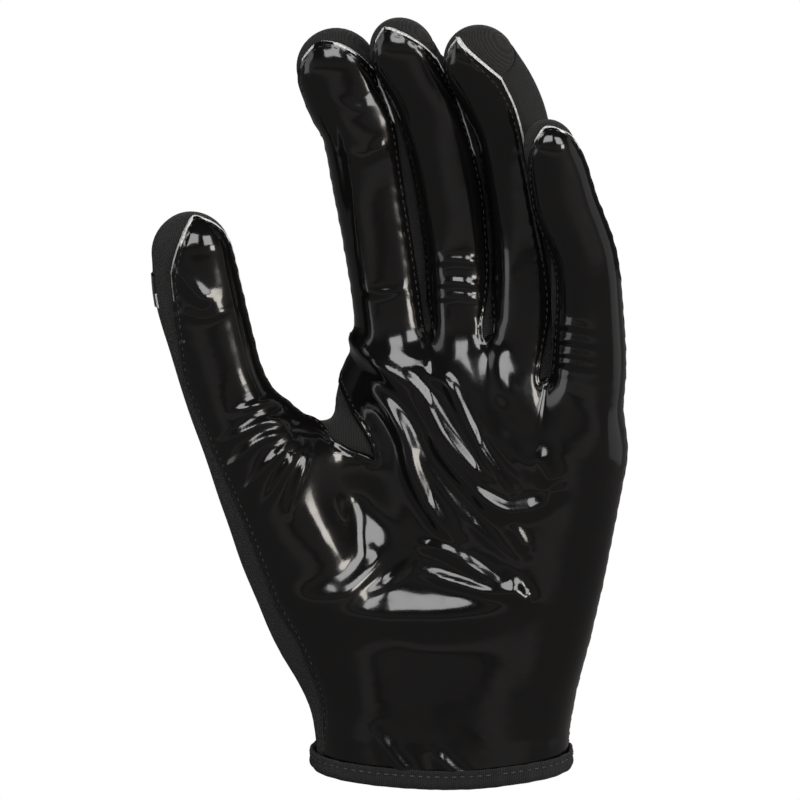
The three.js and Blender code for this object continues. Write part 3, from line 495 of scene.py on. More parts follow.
def digit_rows(digit, base, left, right, end_along, around):
    """A digit's rows above its base row. The edges' angles turn quickly from the base row's to the
    digit's own, and what lies between slowly evens out."""
    columns = len(base) - 1
    along, angle = digit_reading(digit, base)
    if around:
        angle = angle - 360 * (angle > 0)
    share = ((np.arange(1, FINGER_ROWS + 1) / FINGER_ROWS) ** BASE_CROWDING)[:, None]
    even = np.arange(columns + 1) / columns
    turn = smoothstep(share, 0, EDGE_TURN)
    low = mix(angle[0], read_list(left, share), turn)
    high = mix(angle[-1], read_list(right, share), turn)
    across = mix((angle - angle[0]) / (angle[-1] - angle[0]), even, smoothstep(share, 0, EVEN_TURN))
    lengths = mix(along, end_along(even), share)
    return np.concatenate([base[None], digit_places(digit, lengths, mix(low, high, across))])


def arch_end(digit):
    """The arch in which a panel ends below the tip, from a low corner at each side to the top."""
    low = digit.length - digit.corner * digit.width
    high = digit.length + digit.reach * digit.dome_arc
    return lambda share: mix(low, high, 1 - np.abs(2 * share - 1) ** ARCH_FULLNESS)


# Row numbers from the hem to the crotches
ROWS = np.arange(PALM_ROWS + 1)


def lip_rows(target, way):
    """Places on one lip of the slit, from the row past its end to the web."""
    slit_end = cast_in(whole, line_ends(PALM_LINES[0], np.array([1.0]), 0)[:, :3], turned(np.zeros(1)))
    goal = drop(whole, (np.array(target) * SCALES)[None])
    share = (np.arange(SLIT_ROW + 1, WEB_ROW + 1) - SLIT_ROW) / (WEB_ROW - SLIT_ROW)
    place = mix(slit_end, goal, share[:, None])
    place[:, 0] += way * SLIT_HALF * PALM_WIDTH
    place[:, 1] -= LIP_SWELL * HAND_DEPTH * np.sin(np.pi * share)
    return drop(whole, place)


def front_index_left():
    """Ends of the index finger's rows on its thumb side: the slit's line, then the hand's own edge."""
    rise = mix(WEB_INDEX[2], INDEX_EDGE_RISE, (ROWS - WEB_ROW) / (PALM_ROWS - WEB_ROW))
    edge = side_ends(-1, rise, -EDGE_ANGLE)
    line = line_ends(PALM_LINES[0], np.minimum(ROWS / SLIT_ROW, 1), 0)
    return np.where((ROWS <= SLIT_ROW)[:, None], line, edge)


def front_little_right():
    """Ends of the little finger's rows on the hand's outer edge."""
    share = ROWS / PALM_ROWS
    return side_ends(1, LITTLE_EDGE_RISE * ROWS / PALM_ROWS, mix(EDGE_ANGLE, LITTLE_EDGE_ANGLE, share))


def build_fronts():
    """The palm panel's rows, digit by digit from the thumb: hem to base, then base to tip."""
    shares = ROWS / PALM_ROWS
    fronts = [None] * 5
    for i in range(1, 5):
        left = front_index_left() if i == 1 else line_ends(PALM_LINES[i - 1], shares, 0)
        right = front_little_right() if i == 4 else line_ends(PALM_LINES[i], shares, 0)
        palm = hand_rows(left, right, FINGER_COLUMNS, bend=LITTLE_BEND if i == 4 else 1.0)
        if i == 1:
            lips = slice(SLIT_ROW + 1, WEB_ROW + 1)
            palm[lips] = span_rows(lip_rows(WEB_INDEX, 1), palm[lips, -1], FINGER_COLUMNS)
        else:
            palm[:, 0] = fronts[i - 1].palm[:, -1]
        digit = DIGITS[i]
        rows = digit_rows(digit, palm[-1], digit.left, digit.right, arch_end(digit), False)
        fronts[i] = SimpleNamespace(palm=palm, digit=rows)
    rows = ROWS[:WEB_ROW + 1]
    left = line_ends(THUMB_EDGE, rows / WEB_ROW, 0)
    right = line_ends(PALM_LINES[0], np.minimum(rows / SLIT_ROW, 1), 0)
    palm = hand_rows(left, right, THUMB_COLUMNS)
    lips = slice(SLIT_ROW + 1, WEB_ROW + 1)
    palm[lips] = span_rows(palm[lips, 0], lip_rows(WEB_THUMB, -1), THUMB_COLUMNS)
    palm[:SLIT_ROW + 1, -1] = fronts[1].palm[:SLIT_ROW + 1, 0]
    rows = digit_rows(THUMB, palm[-1], THUMB.left, THUMB.right, arch_end(THUMB), False)
    fronts[0] = SimpleNamespace(palm=palm, digit=rows)
    return fronts


def tip_rows(digit, back_row, front_row):
    """The back's rows over a tip: arcs on a sphere of directions from the back row to the panel's end."""
    origin = digit.centres[-1]
    start = unit(back_row - origin)
    end = unit(front_row - origin)
    angle = np.arccos(np.clip((start * end).sum(1), -1, 1))[:, None]
    share = (np.arange(TIP_ROWS + 1) / TIP_ROWS)[:, None, None]
    still = angle < 1e-6
    bow = np.where(still, 1, np.sin(angle))
    arc = (np.sin((1 - share) * angle) * start + np.sin(share * angle) * end) / bow
    way = np.where(still, start, arc)
    rows = cast_out(digit_form(digit), np.broadcast_to(origin, way.shape), unit(way))
    rows[0] = back_row
    rows[-1] = front_row
    return rows


def back_line(i):
    """Row ends on the back: the line to the web's middle, or the palm's line seen from behind."""
    if i == 0:
        return line_ends(BACK_WEB_LINE, np.minimum(ROWS / (WEB_ROW - 1), 1), -180)
    return line_ends(PALM_LINES[i], ROWS / PALM_ROWS, -180, BACK_DROP)


def build_backs(fronts):
    """The back panel's rows. Where no side strip lies between, they share the palm panel's edge."""
    backs = [None] * 5
    for i in range(1, 5):
        left = back_line(i - 1)
        if i == 1:
            left = np.where((ROWS >= WEB_ROW)[:, None], front_index_left(), left)
        right = front_little_right() - [0, 0, 0, 360] if i == 4 else back_line(i)
        palm = hand_rows(left, right, FINGER_COLUMNS, bend=LITTLE_BEND if i == 4 else 1.0)
        if i > 1:
            palm[:, 0] = backs[i - 1].palm[:, -1]
        else:
            palm[WEB_ROW:, 0] = fronts[1].palm[WEB_ROW:, 0]
        if i == 4:
            palm[:, -1] = fronts[4].palm[:, -1]
        digit = DIGITS[i]
        back_right = [angle - 360 for angle in digit.back_right]
        rows = digit_rows(digit, palm[-1], digit.back_left, back_right, lambda s: digit.length + 0 * s, True)
        if i == 1:
            rows[:, 0] = fronts[1].digit[:, 0]
        if i == 4:
            rows[:, -1] = fronts[4].digit[:, -1]
        tip = tip_rows(digit, rows[-1], fronts[i].digit[-1])
        backs[i] = SimpleNamespace(palm=palm, digit=rows, tip=tip)
    backs[0] = build_thumb_back(fronts, backs)
    return backs


def build_thumb_back(fronts, backs):
    """The back of the thumb: rows from its outer edge round to the web's line, then up the thumb."""
    edge = fronts[0].palm[:, 0]
    inner = np.stack([np.interp(edge[:, 2], THUMB.centres[:, 2], axis) for axis in THUMB.centres.T], -1)
    angle = np.degrees(np.arctan2(edge[:, 0] - inner[:, 0], inner[:, 1] - edge[:, 1]))
    left = np.stack([inner[:, 0], inner[:, 1], edge[:, 2], angle], -1)
    lip = fronts[0].palm[-1, -1]
    right = line_ends(BACK_WEB_LINE, np.minimum(ROWS[:WEB_ROW + 1] / (WEB_ROW - 1), 1), -180)
    right[-1] = [lip[0], middle_depth(lip[0], lip[2]), lip[2], -180]
    palm = hand_rows(left, right, THUMB_COLUMNS, stay=EDGE_STAY, settle=EDGE_SETTLE)
    palm[:, 0] = edge
    palm[:-1, -1] = backs[1].palm[:WEB_ROW, 0]
    palm[-1, -1] = lip
    back_right = [angle - 360 for angle in THUMB.back_right]
    rows = digit_rows(THUMB, palm[-1], THUMB.back_left, back_right, lambda s: THUMB.length + 0 * s, True)
    rows[:, 0] = fronts[0].digit[:, 0]
    rows[:, -1] = fronts[0].digit[:, -1]
    return SimpleNamespace(palm=palm, digit=rows, tip=tip_rows(THUMB, rows[-1], fronts[0].digit[-1]))


# The fine surface

# How far distances to an edge are worked out; into how many parts a millimetre is cut to tell whether
# two places fall together; and the most places of a loop too short to be a panel's edge
EDGE_REACH = 20.0
WELD_FINENESS = 50
SHORT_LOOP = 20


def refine(values, times, axis):
    """Cuts each cell of a grid into finer ones along an axis, on smooth curves through its points."""
    count = values.shape[axis] - 1
    moved = np.moveaxis(values, axis, 0)
    return np.moveaxis(smooth_curve(moved, np.linspace(0, 1, count * times + 1)), 0, axis)


# Steps with which a fine grid drops onto the form, and the lattice rows within which a digit's rows
# go over from the whole form to the digit's own
FINE_STEPS = 4
BLEND_ROWS = 2.5


def normals_of(form, grid):
    """The form's outward directions over a grid of places."""
    return outward(form, grid.reshape(-1, 3)).reshape(grid.shape)


def fit(grid, digit=None, blended=True, times=FINE):
    """A coarse grid made fine and dropped onto the form, with its outward normals, as an array of six
    numbers a place. A digit's own rows go over from the whole form to the digit's over BLEND_ROWS."""
    fine = refine(refine(grid, times, 0), times, 1)
    if digit is None:
        spots = drop(whole, fine, FINE_STEPS)
        return np.concatenate([spots, normals_of(whole, spots)], -1)
    own = digit_form(digit)
    first = int(BLEND_ROWS * times) if blended else 0
    upper = drop(own, fine[first:], FINE_STEPS)
    upper = np.concatenate([upper, normals_of(own, upper)], -1)
    if not blended:
        return upper
    share = smoothstep(np.arange(first) / first, 0, 1)[:, None, None]
    base = fine[:first]
    spots = mix(drop(whole, base, FINE_STEPS), drop(own, base, FINE_STEPS), share)
    normals = unit(mix(normals_of(whole, spots), normals_of(own, spots), share))
    return np.concatenate([np.concatenate([spots, normals], -1), upper])


def cells(rows, columns, first=0):
    """Corner numbers of a grid's four-sided cells, turned to face out where columns run to the right."""
    n = first + np.arange(rows * columns).reshape(rows, columns)
    return np.stack([n[:-1, :-1], n[:-1, 1:], n[1:, 1:], n[1:, :-1]], -1).reshape(-1, 4)


def weld(grids, flip=False):
    """Grids of places with normals, joined into one sheet: places that fall together become one, and
    cells that lose a side become triangles. Gives places, normals and faces."""
    faces = []
    first = 0
    for grid in grids:
        faces.append(cells(grid.shape[0], grid.shape[1], first))
        first += grid.shape[0] * grid.shape[1]
    faces = np.concatenate(faces)
    flat = np.concatenate([grid.reshape(-1, 6) for grid in grids])
    keys = np.round(flat[:, :3] * WELD_FINENESS).astype(np.int64)
    _, chosen, number = np.unique(keys, axis=0, return_index=True, return_inverse=True)
    number = number.reshape(-1)
    normals = np.zeros((len(chosen), 3))
    np.add.at(normals, number, flat[:, 3:])
    faces = number[faces]
    faces = faces[(np.sort(faces, 1)[:, 1:] != np.sort(faces, 1)[:, :-1]).sum(1) >= 2]
    if flip:
        faces = faces[:, ::-1]
    return SimpleNamespace(points=flat[chosen, :3], normals=unit(normals), faces=faces)


def open_edges(faces):
    """The directed edges that only one face has."""
    ends = np.stack([faces, np.roll(faces, -1, 1)], -1).reshape(-1, 2)
    ends = ends[ends[:, 0] != ends[:, 1]]
    size = faces.max() + 1
    key = ends[:, 0] * size + ends[:, 1]
    back = ends[:, 1] * size + ends[:, 0]
    return ends[~np.isin(key, back)]


def loops_of(edges):
    """Directed edges as closed loops of place numbers, longest first."""
    follow = dict(edges.tolist())
    loops = []
    while follow:
        start, here = follow.popitem()
        loop = [start]
        while here in follow:
            loop.append(here)
            here = follow.pop(here)
        loops.append(np.array(loop))
    return sorted(loops, key=len, reverse=True)


def nearest_edge(points, line):
    """Each point's distance to the nearest of a line's places, EDGE_REACH at most, and which place
    that is."""
    far = np.zeros(len(points))
    which = np.zeros(len(points), int)
    for part in np.array_split(np.arange(len(points)), max(len(points) // 2000, 1)):
        square = ((points[part, None, :] - line[None]) ** 2).sum(2)
        which[part] = square.argmin(1)
        far[part] = np.minimum(np.sqrt(square.min(1)), EDGE_REACH)
    return far, which


def noise(p, size, seed=0):
    """Smooth noise between about -1 and 1: a sum of nine plane sine waves in spread directions."""
    rng = np.random.default_rng(seed)
    ways = unit(rng.normal(size=(9, 3))) * rng.uniform(0.6, 1.6, (9, 1)) * 2 * np.pi / size
    phases = rng.uniform(0, 2 * np.pi, 9)
    return np.sin(p @ ways.T + phases).sum(-1) / 3


# Meshes and materials

def new_mesh(name, points, faces, materials, slots=None, smooth=True, uv=None):
    """A mesh object out of places in millimetres and faces of four (or three) corners; the last
    corner of a three-sided face repeats. uv is one pair a place, or one a corner."""
    faces = np.asarray(faces)
    keep = np.ones(faces.shape, bool)
    if faces.shape[1] == 4:
        keep = faces != np.roll(faces, 1, 1)
    counts = keep.sum(1)
    corners = faces[keep]
    mesh = bpy.data.meshes.new(name)
    mesh.vertices.add(len(points))
    mesh.vertices.foreach_set("co", (np.asarray(points) * MM).ravel())
    mesh.loops.add(len(corners))
    mesh.loops.foreach_set("vertex_index", corners)
    mesh.polygons.add(len(faces))
    mesh.polygons.foreach_set("loop_start", np.concatenate([[0], np.cumsum(counts)[:-1]]))
    mesh.polygons.foreach_set("loop_total", counts)
    mesh.polygons.foreach_set("use_smooth", np.broadcast_to(smooth, len(faces)).astype(bool))
    if slots is not None:
        mesh.polygons.foreach_set("material_index", slots)
    if uv is not None:
        pairs = uv if len(uv) == len(corners) else uv[corners]
        mesh.uv_layers.new(name="cloth").data.foreach_set("uv", pairs.ravel())
    for material in materials:
        mesh.materials.append(material)
    mesh.update(calc_edges=True)
    mesh.validate()
    piece = bpy.data.objects.new(name, mesh)
    bpy.context.scene.collection.objects.link(piece)
    return piece


def edge_ways(sheet, edges):
    """At each place of the open edge, the direction along the surface into the sheet: the normal
    crossed with the edge's own direction, summed over the place's two edges."""
    way = unit(sheet.points[edges[:, 1]] - sheet.points[edges[:, 0]])
    inward = np.zeros_like(sheet.points)
    for end in (0, 1):
        np.add.at(inward, edges[:, end], np.cross(sheet.normals[edges[:, end]], way))
    return unit(inward)


def walled(name, sheet, top, wall, materials, uv=None, bevel=None, pale=None, highlight_band=None):
    """A sheet given a wall: its outer skin at the height top above the form, its inner skin a wall
    below, and a rim between them that has the second material where pale says so. A bevel, one
    vector a place, draws the outer skin back from the cut edge. Outer faces whose places all lie in
    the band have the second material too. Where the band is chosen to face the lamps, this paints a
    highlight."""
    count = len(sheet.points)
    outer = sheet.points + sheet.normals * np.reshape(top, (-1, 1))
    inner = outer - sheet.normals * wall
    if bevel is not None:
        outer = outer + bevel
    rim = open_edges(sheet.faces)
    a, b = rim[:, 0], rim[:, 1]
    sides = np.stack([b, a, a + count, b + count], -1)
    faces = np.concatenate([sheet.faces, sheet.faces[:, ::-1] + count, sides])
    cut = np.ones(len(sides), int) if pale is None else pale[a].astype(int)
    # Skin faces in the band take the pale second material. Where the band is used, this is a painted
    # highlight.
    skin = np.zeros(len(sheet.faces), int) if highlight_band is None else highlight_band[sheet.faces].all(1).astype(int)
    slots = np.concatenate([skin, np.zeros_like(skin), cut])
    smooth = np.arange(len(faces)) < 2 * len(sheet.faces)
    both = None if uv is None else np.concatenate([uv, uv])
    return new_mesh(name, np.concatenate([outer, inner]), faces, materials, slots, smooth, both)


# The panel's own relief: folds pressed out of the palm, puckers along the seams

# Folds of the palm: a line of places (side, rise), then half width and height in millimetres
PALM_FOLDS = [
    ([(-0.220, 0.531), (-0.142, 0.514), (-0.064, 0.489), (0.021, 0.438), (0.128, 0.393),
      (0.227, 0.368)], 2.2, 1.8),
    ([(-0.326, 0.560), (-0.270, 0.542), (-0.184, 0.512), (-0.106, 0.484), (-0.018, 0.433),
      (0.089, 0.384), (0.177, 0.355), (0.248, 0.346), (0.340, 0.352), (0.394, 0.371)], 2.6, 2.2),
    ([(-0.043, 0.512), (0.021, 0.505), (0.057, 0.481), (0.103, 0.446), (0.170, 0.403),
      (0.248, 0.373)], 2.1, 1.8),
    ([(-0.234, 0.492), (-0.177, 0.469), (-0.131, 0.436), (-0.103, 0.394), (-0.057, 0.356),
      (0.000, 0.325), (0.057, 0.303)], 2.8, 2.7),
    ([(-0.085, 0.436), (-0.021, 0.371), (0.064, 0.332), (0.149, 0.309)], 3.0, 0.7),
    ([(0.064, 0.540), (0.128, 0.485), (0.195, 0.442), (0.277, 0.407), (0.365, 0.381)], 3.2, 0.9),
    ([(-0.071, 0.298), (0.011, 0.293), (0.106, 0.272), (0.227, 0.243)], 1.9, 1.6),
    ([(-0.064, 0.264), (0.014, 0.255), (0.135, 0.244), (0.234, 0.238)], 1.8, 1.4),
    ([(-0.539, 0.228), (-0.326, 0.215), (-0.096, 0.208), (0.092, 0.212), (0.248, 0.228)], 6.0, 2.2),
    ([(0.227, 0.259), (0.270, 0.237), (0.312, 0.228)], 2.6, 1.4),
    ([(0.323, 0.428), (0.369, 0.399), (0.397, 0.378)], 3.4, 1.5),
    ([(0.234, 0.334), (0.270, 0.311), (0.301, 0.291)], 2.0, 1.0),
    ([(-0.241, 0.545), (-0.121, 0.529), (0.007, 0.527)], 5.0, 1.6),
    ([(0.184, 0.566), (0.202, 0.520), (0.234, 0.472)], 3.6, 1.2),
    ([(-0.099, 0.282), (-0.184, 0.251), (-0.284, 0.235)], 1.7, 0.8),
    ([(-0.291, 0.338), (-0.227, 0.286), (-0.319, 0.248), (-0.461, 0.235)], 3.6, 1.6),
    ([(-0.220, 0.056), (-0.163, 0.022), (-0.099, -0.001)], 2.4, 1.5),
    ([(-0.028, 0.035), (0.028, 0.012), (0.092, -0.004)], 2.2, 1.3),
    ([(-0.376, 0.566), (-0.312, 0.553), (-0.248, 0.532)], 2.4, 0.8),
    ([(-0.089, 0.423), (-0.007, 0.377), (0.082, 0.338), (0.170, 0.306), (0.259, 0.280)], 1.4, 0.5),
    ([(-0.060, 0.436), (0.046, 0.391), (0.152, 0.350), (0.223, 0.322)], 1.4, 0.45),
    ([(0.082, 0.488), (0.188, 0.429), (0.277, 0.386)], 1.4, 0.45),
]
# Wrinkles that fan out of the web over the thumb's base, and the bands across the fingers
THUMB_FOLDS = [
    ([(-0.433, 0.871), (-0.376, 0.826), (-0.344, 0.761), (-0.326, 0.683)], 2.0, -0.6),
    ([(-0.156, 0.852), (-0.096, 0.813), (-0.050, 0.735), (-0.028, 0.676)], 1.7, 0.55),
    ([(0.064, 0.893), (0.128, 0.845), (0.177, 0.787), (0.206, 0.709)], 1.7, 0.55),
    ([(-0.255, 0.800), (-0.199, 0.808)], 1.5, 0.5),
    ([(-0.943, 0.683), (-0.908, 0.654), (-0.844, 0.625), (-0.801, 0.612)], 2.6, 1.2),
    ([(-0.518, 0.469), (-0.610, 0.485), (-0.730, 0.475)], 1.3, 0.9),
    ([(-0.532, 0.459), (-0.638, 0.459), (-0.780, 0.433)], 1.3, 1.1),
    ([(-0.546, 0.449), (-0.652, 0.436), (-0.766, 0.394)], 1.3, 1.1),
    ([(-0.532, 0.436), (-0.617, 0.407), (-0.716, 0.360)], 1.3, 1.0),
    ([(-0.504, 0.428), (-0.567, 0.394), (-0.638, 0.345)], 1.3, 0.9),
    ([(-0.468, 0.423), (-0.504, 0.386), (-0.539, 0.345)], 1.3, 0.8),
    ([(0.390, 0.583), (0.450, 0.586), (0.511, 0.581)], 1.1, 0.7),
    ([(0.387, 0.563), (0.450, 0.567), (0.511, 0.562)], 1.1, 0.8),
    ([(0.387, 0.546), (0.450, 0.549), (0.511, 0.544)], 1.1, 0.7),
    ([(0.387, 0.534), (0.450, 0.537), (0.511, 0.531)], 1.0, 0.5),
    ([(-0.028, 0.659), (0.050, 0.662), (0.131, 0.657)], 1.1, 0.6),
    ([(-0.028, 0.631), (0.053, 0.633), (0.131, 0.628)], 1.1, 0.7),
    ([(-0.028, 0.612), (0.057, 0.616), (0.131, 0.610)], 1.0, 0.5),
    ([(-0.301, 0.623), (-0.220, 0.618), (-0.149, 0.623)], 1.3, 0.5),
    ([(-0.348, 0.800), (-0.284, 0.792), (-0.213, 0.800)], 1.4, 0.35),
    ([(-0.369, 0.865), (-0.298, 0.854), (-0.234, 0.865)], 1.4, 0.3),
    ([(-0.908, 0.605), (-0.830, 0.597), (-0.730, 0.607)], 1.5, 0.5),
]


# Places on a fold's line, the share of its height that a fold keeps at its two ends, the share of its
# line over which it rises from there, and the depth behind which there are no folds
FOLD_STEPS = 160
FOLD_END = 0.35
FOLD_RISE = 0.3
FOLD_DEPTH = 4.0


def bump_over(far, wide):
    """exp(-(far / wide) ** 2): 1 on a line, and nothing well away from it."""
    return np.exp(-((far / wide) ** 2))


def fold_height(folds, points):
    """Over each fold's line, seen from the front, a ridge: high * exp(-(distance / width) ** 2),
    lower towards the line's two ends."""
    flat = points[:, [0, 2]]
    total = np.zeros(len(points))
    last = FOLD_STEPS - 1
    for places, wide, high in folds:
        knots = np.array(places) * [PALM_WIDTH, GLOVE_LENGTH]
        line = smooth_curve(knots, np.linspace(0, 1, FOLD_STEPS))
        low = line.min(0) - 3 * wide
        top = line.max(0) + 3 * wide
        near = np.flatnonzero(((flat > low) & (flat < top)).all(1) & (points[:, 1] < FOLD_DEPTH))
        far, which = nearest_edge(flat[near], line)
        end = np.minimum(which, last - which) / last
        total[near] += high * bump_over(far, wide) * mix(FOLD_END, 1, smoothstep(end, 0, FOLD_RISE))
    return total


def pucker(far, along, pitch, high, depth):
    """Ripples along a seam: two sine waves of the edge's running millimetres, one 1.7 times as long as
    the other, that fade over the depth away from the edge and are least right on it."""
    wave = np.sin(2 * np.pi * along / pitch) + 0.6 * np.sin(2 * np.pi * along / (pitch * 1.7) + 1.3)
    return high * wave * bump_over(far, depth) * smoothstep(far, -1.0, 1.2)


def closed_length(line):
    """Millimetres along a closed line at each of its places, and at its first place again."""
    steps = np.linalg.norm(np.roll(line, -1, 0) - line, axis=1)
    return np.concatenate([[0], np.cumsum(steps)])


# Threads: how far a seam's stitches lie inside the edge, their spacing, length, half thickness and
# height over the sheet. Stitches nearer the edge than a share of the inset, as at sharp corners, and
# stitches close over the tape are left out. A thread's section has RING corners
STITCH_INSET = 1.8
STITCH_PITCH = 2.3
STITCH_LENGTH = 1.5
THREAD_RADIUS = 0.19
STITCH_LIFT = 0.05
STITCH_NEAREST = 0.75
STITCH_OVER_TAPE = 2
RING = 6


def resample(line, pitch):
    """A closed line's places at even running lengths."""
    at = closed_length(line)
    line = np.concatenate([line, line[:1]])
    even = np.arange(0, at[-1], pitch)
    return np.stack([np.interp(even, at, axis) for axis in line.T], -1)


def chords(line):
    """At each place of a closed line, the direction from the place before to the place after."""
    return unit(np.roll(line, -1, 0) - np.roll(line, 1, 0))


def smooth_line(line, times):
    """Each place mixed with its two neighbours, some times over, on a closed line."""
    for _ in range(times):
        line = (np.roll(line, 1, 0) + 2 * line + np.roll(line, -1, 0)) / 4
    return line


def stitches(name, centres, ways, normals, material, length=STITCH_LENGTH, radius=THREAD_RADIUS):
    """Threads as small bars along a seam, all in one mesh: rings of six places whose radius follows
    half an ellipse along the bar, bowed down at both ends into the cloth."""
    ring = np.arange(RING) * 2 * np.pi / RING
    t = np.array([-1.0, -0.8, -0.35, 0.35, 0.8, 1.0])
    swell = np.sqrt(np.maximum(1 - t**4, 0.03))
    side = np.cross(normals, ways)
    centre = (centres[:, None] + ways[:, None] * (t * length / 2)[:, None]
              - normals[:, None] * (t * t * radius)[:, None])
    across = (side[:, None] * np.cos(ring)[:, None] + normals[:, None] * np.sin(ring)[:, None]) * radius
    points = centre[:, :, None] + across[:, None] * swell[None, :, None, None]
    one = np.arange(len(t) * RING).reshape(len(t), RING)
    after = np.roll(one, -1, 1)
    around = np.stack([one[:-1], after[:-1], after[1:], one[1:]], -1).reshape(-1, 4)
    low = one[0][[[0, 3, 2, 1], [0, 5, 4, 3]]]
    high = one[-1][[[0, 1, 2, 3], [0, 3, 4, 5]]]
    bar = np.concatenate([around, low, high])
    faces = (bar[None] + (np.arange(len(centres)) * one.size)[:, None, None]).reshape(-1, 4)
    return new_mesh(name, points.reshape(-1, 3), faces, [material])


# Materials

def add_node(tree, kind, inputs=None, **settings):
    """A shader node with its settings and its inputs' values or links."""
    node = tree.nodes.new(kind)
    for name, value in settings.items():
        setattr(node, name, value)
    for key, value in (inputs or {}).items():
        if isinstance(value, bpy.types.NodeSocket):
            tree.links.new(value, node.inputs[key])
        else:
            node.inputs[key].default_value = value
    return node


def base_material(name, **sockets):
    """A material with its principled shader, whose sockets take the given values."""
    material = bpy.data.materials.new(name)
    material.use_nodes = True
    shader = material.node_tree.nodes["Principled BSDF"]
    for key, value in sockets.items():
        shader.inputs[key.replace("_", " ")].default_value = value
    return material, material.node_tree, shader


def own_place(tree):
    """The piece's own coordinates."""
    return add_node(tree, "ShaderNodeTexCoord").outputs["Object"]


def speckle(tree, place, scale, detail=2.0):
    """Smooth noise at a place."""
    return add_node(tree, "ShaderNodeTexNoise", {
        "Vector": place, "Scale": scale, "Detail": detail}).outputs["Fac"]


def bumped(tree, height, strength, distance, **under):
    """A normal tilted by a height."""
    return add_node(tree, "ShaderNodeBump", {
        "Height": height, "Strength": strength, "Distance": distance, **under}).outputs["Normal"]


def ranged(tree, value, start, end, low, high, kind="LINEAR"):
    """A value between start and end taken to low and high, and held beyond them."""
    return add_node(tree, "ShaderNodeMapRange", {
        "Value": value, "From Min": start, "From Max": end, "To Min": low, "To Max": high},
        interpolation_type=kind).outputs["Result"]


def two_colours(tree, value, dark, light, start=0.0, end=1.0):
    """A colour between two by a value."""
    ramp = add_node(tree, "ShaderNodeValToRGB", {"Fac": value})
    first, last = ramp.color_ramp.elements
    first.position = start
    first.color = (*dark, 1)
    last.position = end
    last.color = (*light, 1)
    return ramp.outputs["Color"]


def glossy_sheet():
    """Black grip coating: a wet-looking coat over a soft sheet, with faint creases and orange peel."""
    material, tree, shader = base_material(
        "glossy_sheet", Base_Color=(0.0048, 0.0043, 0.0042, 1), Coat_Weight=0.3, Coat_Roughness=0.03,
        IOR=1.5)
    place = own_place(tree)
    soft = speckle(tree, place, 95.0)
    first = bumped(tree, soft, 0.12, 0.0012)
    second = bumped(tree, speckle(tree, place, 900.0, 3.0), 0.05, 0.0002, Normal=first)
    tree.links.new(second, shader.inputs["Normal"])
    tree.links.new(ranged(tree, soft, 0.3, 0.7, 0.09, 0.19), shader.inputs["Roughness"])
    return material


def sheet_core_and_highlight():
    """The cut edge of the sheet: a pale fibrous core. On the skin near the tips it also paints a highlight
    where that skin faces the lamps above.
    """
    material, tree, shader = base_material("sheet_core_and_highlight", Roughness=0.9)
    fibre = speckle(tree, own_place(tree), 1500.0)
    colour = two_colours(tree, fibre, (0.5, 0.5, 0.5), (0.92, 0.92, 0.91), 0.35, 0.6)
    tree.links.new(colour, shader.inputs["Base Color"])
    return material


def woven(name, dark, light, pitch, angle=0.0, uv=None, cross=0.5):
    """Cloth: two crossed sets of fine waves as bump and as light and dark yarn. The waves follow the
    piece's own cloth map where it has one, and otherwise its place."""
    material, tree, shader = base_material(name, Roughness=0.85, Sheen_Weight=0.08, Sheen_Roughness=0.5)
    place = own_place(tree)
    source = add_node(tree, "ShaderNodeUVMap", uv_map=uv).outputs["UV"] if uv else place
    turn = add_node(tree, "ShaderNodeMapping", {"Vector": source, "Rotation": (0.0, angle, angle)})
    bands = [add_node(tree, "ShaderNodeTexWave", {
        "Vector": turn.outputs["Vector"], "Scale": 0.5 / pitch, "Distortion": 0.6 if uv else 1.8,
        "Detail": 1.0, "Detail Scale": 2.0}, bands_direction=way, wave_profile="SIN")
        for way in ("YX" if uv else "XZ")]
    both = add_node(tree, "ShaderNodeMix", {
        "Factor": cross, 2: bands[0].outputs["Fac"], 3: bands[1].outputs["Fac"]}, data_type="FLOAT")
    fuzz = speckle(tree, place, 1400.0)
    height = add_node(tree, "ShaderNodeMath", {0: both.outputs[0], 1: fuzz}, operation="ADD")
    tree.links.new(bumped(tree, height.outputs[0], 0.9, pitch * 0.4), shader.inputs["Normal"])
    tree.links.new(two_colours(tree, both.outputs[0], dark, light), shader.inputs["Base Color"])
    return material


def thread(name, colour):
    """Twisted thread: fine turns as a wave across it."""
    material, tree, shader = base_material(name, Base_Color=(*colour, 1), Roughness=0.6)
    turns = add_node(tree, "ShaderNodeTexWave", {
        "Vector": own_place(tree), "Scale": 1500.0, "Distortion": 2.0})
    tree.links.new(bumped(tree, turns.outputs["Fac"], 0.5, 0.0001), shader.inputs["Normal"])
    return material


SHEET = glossy_sheet()
CORE_AND_HIGHLIGHT = sheet_core_and_highlight()
BLACK_YARN = (0.004, 0.0036, 0.0036)
KNIT = woven("back_knit", BLACK_YARN, (0.03, 0.028, 0.027), 0.001, angle=0.6, cross=0.4)
RIBBED = woven("ribbed_fabric", BLACK_YARN, (0.022, 0.021, 0.02), 0.0008, uv="cloth", cross=0.15)
TAPE = woven("tape_weave", (0.004, 0.004, 0.0045), (0.018, 0.018, 0.019), 0.0009, uv="cloth", cross=0.1)
BLACK_THREAD = thread("black_thread", (0.035, 0.033, 0.032))
GREY_THREAD = thread("grey_thread", (0.09, 0.09, 0.09))


# The glove's pieces

# Heights over the form in millimetres: the sheet's skin, the cloth's skin, and how much deeper the
# cloth is tucked at its seams, over what distance
PANEL_TOP = 0.35
FABRIC_TOP = -0.3
TUCK = 0.42
TUCK_REACH = 1.2
# The sheet's cut edge: how far its skin is drawn back, over what distance, and the width of the pale
# band on its upward-facing skin, which is a painted highlight. The band and the pale rim show above
# these heights on the fingers and on the thumb
RAW_EDGE = 0.8
RAW_REACH = 1.5
HIGHLIGHT_BAND = 1.1
FINGER_TIPS = 192
THUMB_TIP = 150
THUMB_SIDE = -50
